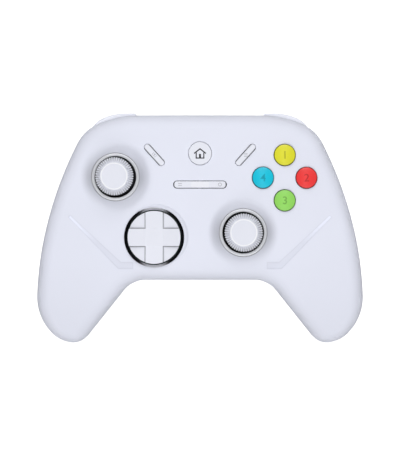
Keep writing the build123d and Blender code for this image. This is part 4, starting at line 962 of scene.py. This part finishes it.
class GAMEPAD_OT_small_buttons(bpy.types.Operator):
    """Finish the slanted buttons, the round button and the bar, with their marks"""

    bl_idname = "gamepad.small_buttons"
    bl_label = "Small buttons"

    def execute(self, context):
        sizes = context.scene.gamepad_sizes
        turn = math.radians(sizes.pill_angle)
        level = Vector((1.0, 0.0))
        slots = (("view_button", Vector((math.cos(turn), -math.sin(turn))), sizes.pill_radius),
                 ("menu_button", Vector((math.cos(turn), math.sin(turn))), sizes.pill_radius),
                 ("home_button", level, half_size("home_button").y),
                 ("function_bar", level, half_size("function_bar").y))
        for node, way, radius in slots:
            half_run = (half_size(node).x - radius) / way.x
            finishes[node] = moulded(node.replace("_", " ") + " plastic",
                                     context.scene.gamepad_colours.button, 0.42, 0.02 * MM,
                                     slot_rim(middle_of(node), way, half_run, radius))
            dress(node, node)
        dress("dark", "tact_switches")
        above = Vector((0.0, 0.0, sizes.ink))
        self.view_mark(middle_of("view_button") + above)
        self.menu_mark(middle_of("menu_button") + above)
        self.home_mark(middle_of("home_button") + above)
        self.bar_marks(middle_of("function_bar") + above)
        return {"FINISHED"}

    def view_mark(self, centre):
        """Two open squares, one behind the other"""
        bm = bmesh.new()
        down_right = Vector((math.sqrt(0.5), -math.sqrt(0.5), 0.0))
        for shift in (-SQUARE_SHIFT, SQUARE_SHIFT):
            flat_ring(bm, centre + down_right * shift, *SQUARE_RADII, segments=4)
        thicken(bm, MARK_DEPTH)
        add_piece("view_mark", bm, "mark", "view_button")

    def menu_mark(self, centre):
        """Three level bars"""
        bm = bmesh.new()
        flat_bars(bm, centre, MENU_BARS)
        thicken(bm, MARK_DEPTH)
        add_piece("menu_mark", bm, "mark", "menu_button")

    def home_mark(self, centre):
        """Outline of a house"""
        bm = bmesh.new()
        flat_bars(bm, centre, HOUSE_BARS)
        thicken(bm, MARK_DEPTH)
        add_piece("home_mark", bm, "emblem", "home_button")

    def bar_marks(self, centre):
        """Milky window in the middle, two short bars on its left and a circle on its right"""
        bm = bmesh.new()
        flat_bars(bm, centre, WINDOW_BARS)
        thicken(bm, MARK_DEPTH)
        upright = [e for e in bm.edges
                   if abs(e.verts[0].co.z - e.verts[1].co.z) > MARK_DEPTH / 2]
        bmesh.ops.bevel(bm, geom=upright, offset=WINDOW_CORNER, segments=4, profile=0.5,
                        affect="EDGES", material=-1)
        add_piece("bar_window", bm, "window", "function_bar")
        bm = bmesh.new()
        flat_ring(bm, centre + RING_STEP, *RING_RADII)
        flat_bars(bm, centre, EQUAL_BARS)
        thicken(bm, MARK_DEPTH)
        add_piece("bar_marks", bm, "mark", "function_bar")


class GAMEPAD_OT_inside(bpy.types.Operator):
    """Finish what lies inside the shells"""

    bl_idname = "gamepad.inside"
    bl_label = "Inside"

    def execute(self, context):
        dress("board", "main_board", "trigger_sensors")
        dress("frame", "mid_frame")
        dress("foil", "battery_cell")
        dress("steel", "left_rumble_motor", "right_rumble_motor")
        dress("brass", "left_rumble_weight", "right_rumble_weight")
        return {"FINISHED"}


class GAMEPAD_OT_stage(bpy.types.Operator):
    """Set the floor, the lights and the camera"""

    bl_idname = "gamepad.stage"
    bl_label = "Studio"

    def execute(self, context):
        studio = context.scene.gamepad_studio
        scene = context.scene
        scene.view_settings.view_transform = "Standard"
        self.floor(studio)
        self.surround(scene, studio)
        self.soft_light("Overhead", (0.0, 0.0, 1.1), (0.45, 1.6), studio.overhead)
        self.soft_light("Far light", (0.0, 0.9, 0.75), (0.7, 0.2), studio.far_side)
        self.soft_light("Near light", (0.0, -0.9, 0.75), (0.7, 0.2), studio.near_side)
        lens = bpy.data.cameras.new("Camera")
        lens.lens = studio.lens
        lens.sensor_width = 36.0
        lens.clip_start = 10 * MM
        camera = bpy.data.objects.new("Camera", lens)
        camera.location = (0.0, CAMERA_SHIFT, studio.camera_height)
        scene.collection.objects.link(camera)
        scene.camera = camera
        return {"FINISHED"}

    def floor(self, studio):
        """White floor that glows faintly and can be looked through from below"""
        bm = bmesh.new()
        bmesh.ops.create_grid(bm, x_segments=1, y_segments=1, size=FLOOR_REACH,
                              matrix=Matrix.Translation((0.0, 0.0, -FLOOR_DROP)))
        mesh = bpy.data.meshes.new("Floor")
        bm.to_mesh(mesh)
        bm.free()
        finish, tree, shader = new_finish("Pale floor", 0.9)
        shader.inputs["Base Color"].default_value = (0.4, 0.4, 0.4, 1.0)
        shader.inputs["Emission Color"].default_value = (1.0, 1.0, 1.0, 1.0)
        seen = tree.nodes.new("ShaderNodeLightPath").outputs["Is Camera Ray"]
        tree.links.new(calc(tree, "MAXIMUM", seen, studio.floor_glow),
                       shader.inputs["Emission Strength"])
        clear = tree.nodes.new("ShaderNodeBsdfTransparent")
        either = tree.nodes.new("ShaderNodeMixShader")
        below = tree.nodes.new("ShaderNodeNewGeometry").outputs["Backfacing"]
        tree.links.new(below, either.inputs["Fac"])
        tree.links.new(shader.outputs["BSDF"], either.inputs[1])
        tree.links.new(clear.outputs["BSDF"], either.inputs[2])
        tree.links.new(either.outputs["Shader"],
                       tree.nodes["Material Output"].inputs["Surface"])
        mesh.materials.append(finish)
        floor = bpy.data.objects.new("Floor", mesh)
        bpy.context.scene.collection.objects.link(floor)

    def surround(self, scene, studio):
        """Room with bright ends and dim sides, which a camera sees as a white backdrop"""
        world = bpy.data.worlds.new("Studio")
        world.use_nodes = True
        tree = world.node_tree
        background = tree.nodes["Background"]
        background.inputs["Color"].default_value = (1.0, 1.0, 1.0, 1.0)
        way = axes_of(tree, tree.nodes.new("ShaderNodeTexCoord").outputs["Generated"])
        along = calc(tree, "POWER", calc(tree, "ABSOLUTE", way["Y"]), 2.0)
        room = spread(tree, along, studio.dim_sides, studio.surround)
        seen = tree.nodes.new("ShaderNodeLightPath").outputs["Is Camera Ray"]
        tree.links.new(calc(tree, "MAXIMUM", room, seen), background.inputs["Strength"])
        scene.world = world

    def soft_light(self, name, place, size, power):
        """Rectangular light; the overhead one stays out of reflections"""
        lamp = bpy.data.lights.new(name, type="AREA")
        lamp.shape = "RECTANGLE"
        lamp.size, lamp.size_y = size
        lamp.energy = power
        light = bpy.data.objects.new(name, lamp)
        light.visible_glossy = name != "Overhead"
        light.location = place
        light.rotation_euler = (AIM - Vector(place)).to_track_quat("-Z", "Y").to_euler()
        bpy.context.scene.collection.objects.link(light)


class GAMEPAD_PT_panel(bpy.types.Panel):
    """Gamepad pieces"""

    bl_idname = "GAMEPAD_PT_panel"
    bl_label = "Gamepad"
    bl_space_type = "VIEW_3D"
    bl_region_type = "UI"
    bl_category = "Gamepad"

    def draw(self, context):
        for step in steps:
            self.layout.operator(step.bl_idname)


settings = (
    ("gamepad_colours", GamepadColours),
    ("gamepad_sizes", GamepadSizes),
    ("gamepad_studio", GamepadStudio),
)
steps = (
    GAMEPAD_OT_finishes,
    GAMEPAD_OT_body,
    GAMEPAD_OT_sticks,
    GAMEPAD_OT_pad,
    GAMEPAD_OT_face_buttons,
    GAMEPAD_OT_small_buttons,
    GAMEPAD_OT_inside,
    GAMEPAD_OT_stage,
)


def register():
    for name, group in settings:
        bpy.utils.register_class(group)
        setattr(bpy.types.Scene, name, PointerProperty(type=group))
    for step in steps:
        bpy.utils.register_class(step)
    bpy.utils.register_class(GAMEPAD_PT_panel)


def unregister():
    bpy.utils.unregister_class(GAMEPAD_PT_panel)
    for step in reversed(steps):
        bpy.utils.unregister_class(step)
    for name, group in reversed(settings):
        delattr(bpy.types.Scene, name)
        bpy.utils.unregister_class(group)


def main():
    register()
    bpy.ops.gamepad.finishes()
    bpy.ops.gamepad.body()
    bpy.ops.gamepad.sticks()
    bpy.ops.gamepad.pad()
    bpy.ops.gamepad.face_buttons()
    bpy.ops.gamepad.small_buttons()
    bpy.ops.gamepad.inside()
    bpy.ops.gamepad.stage()
    bpy.context.view_layer.update()


if __name__ == "__main__":
    main()
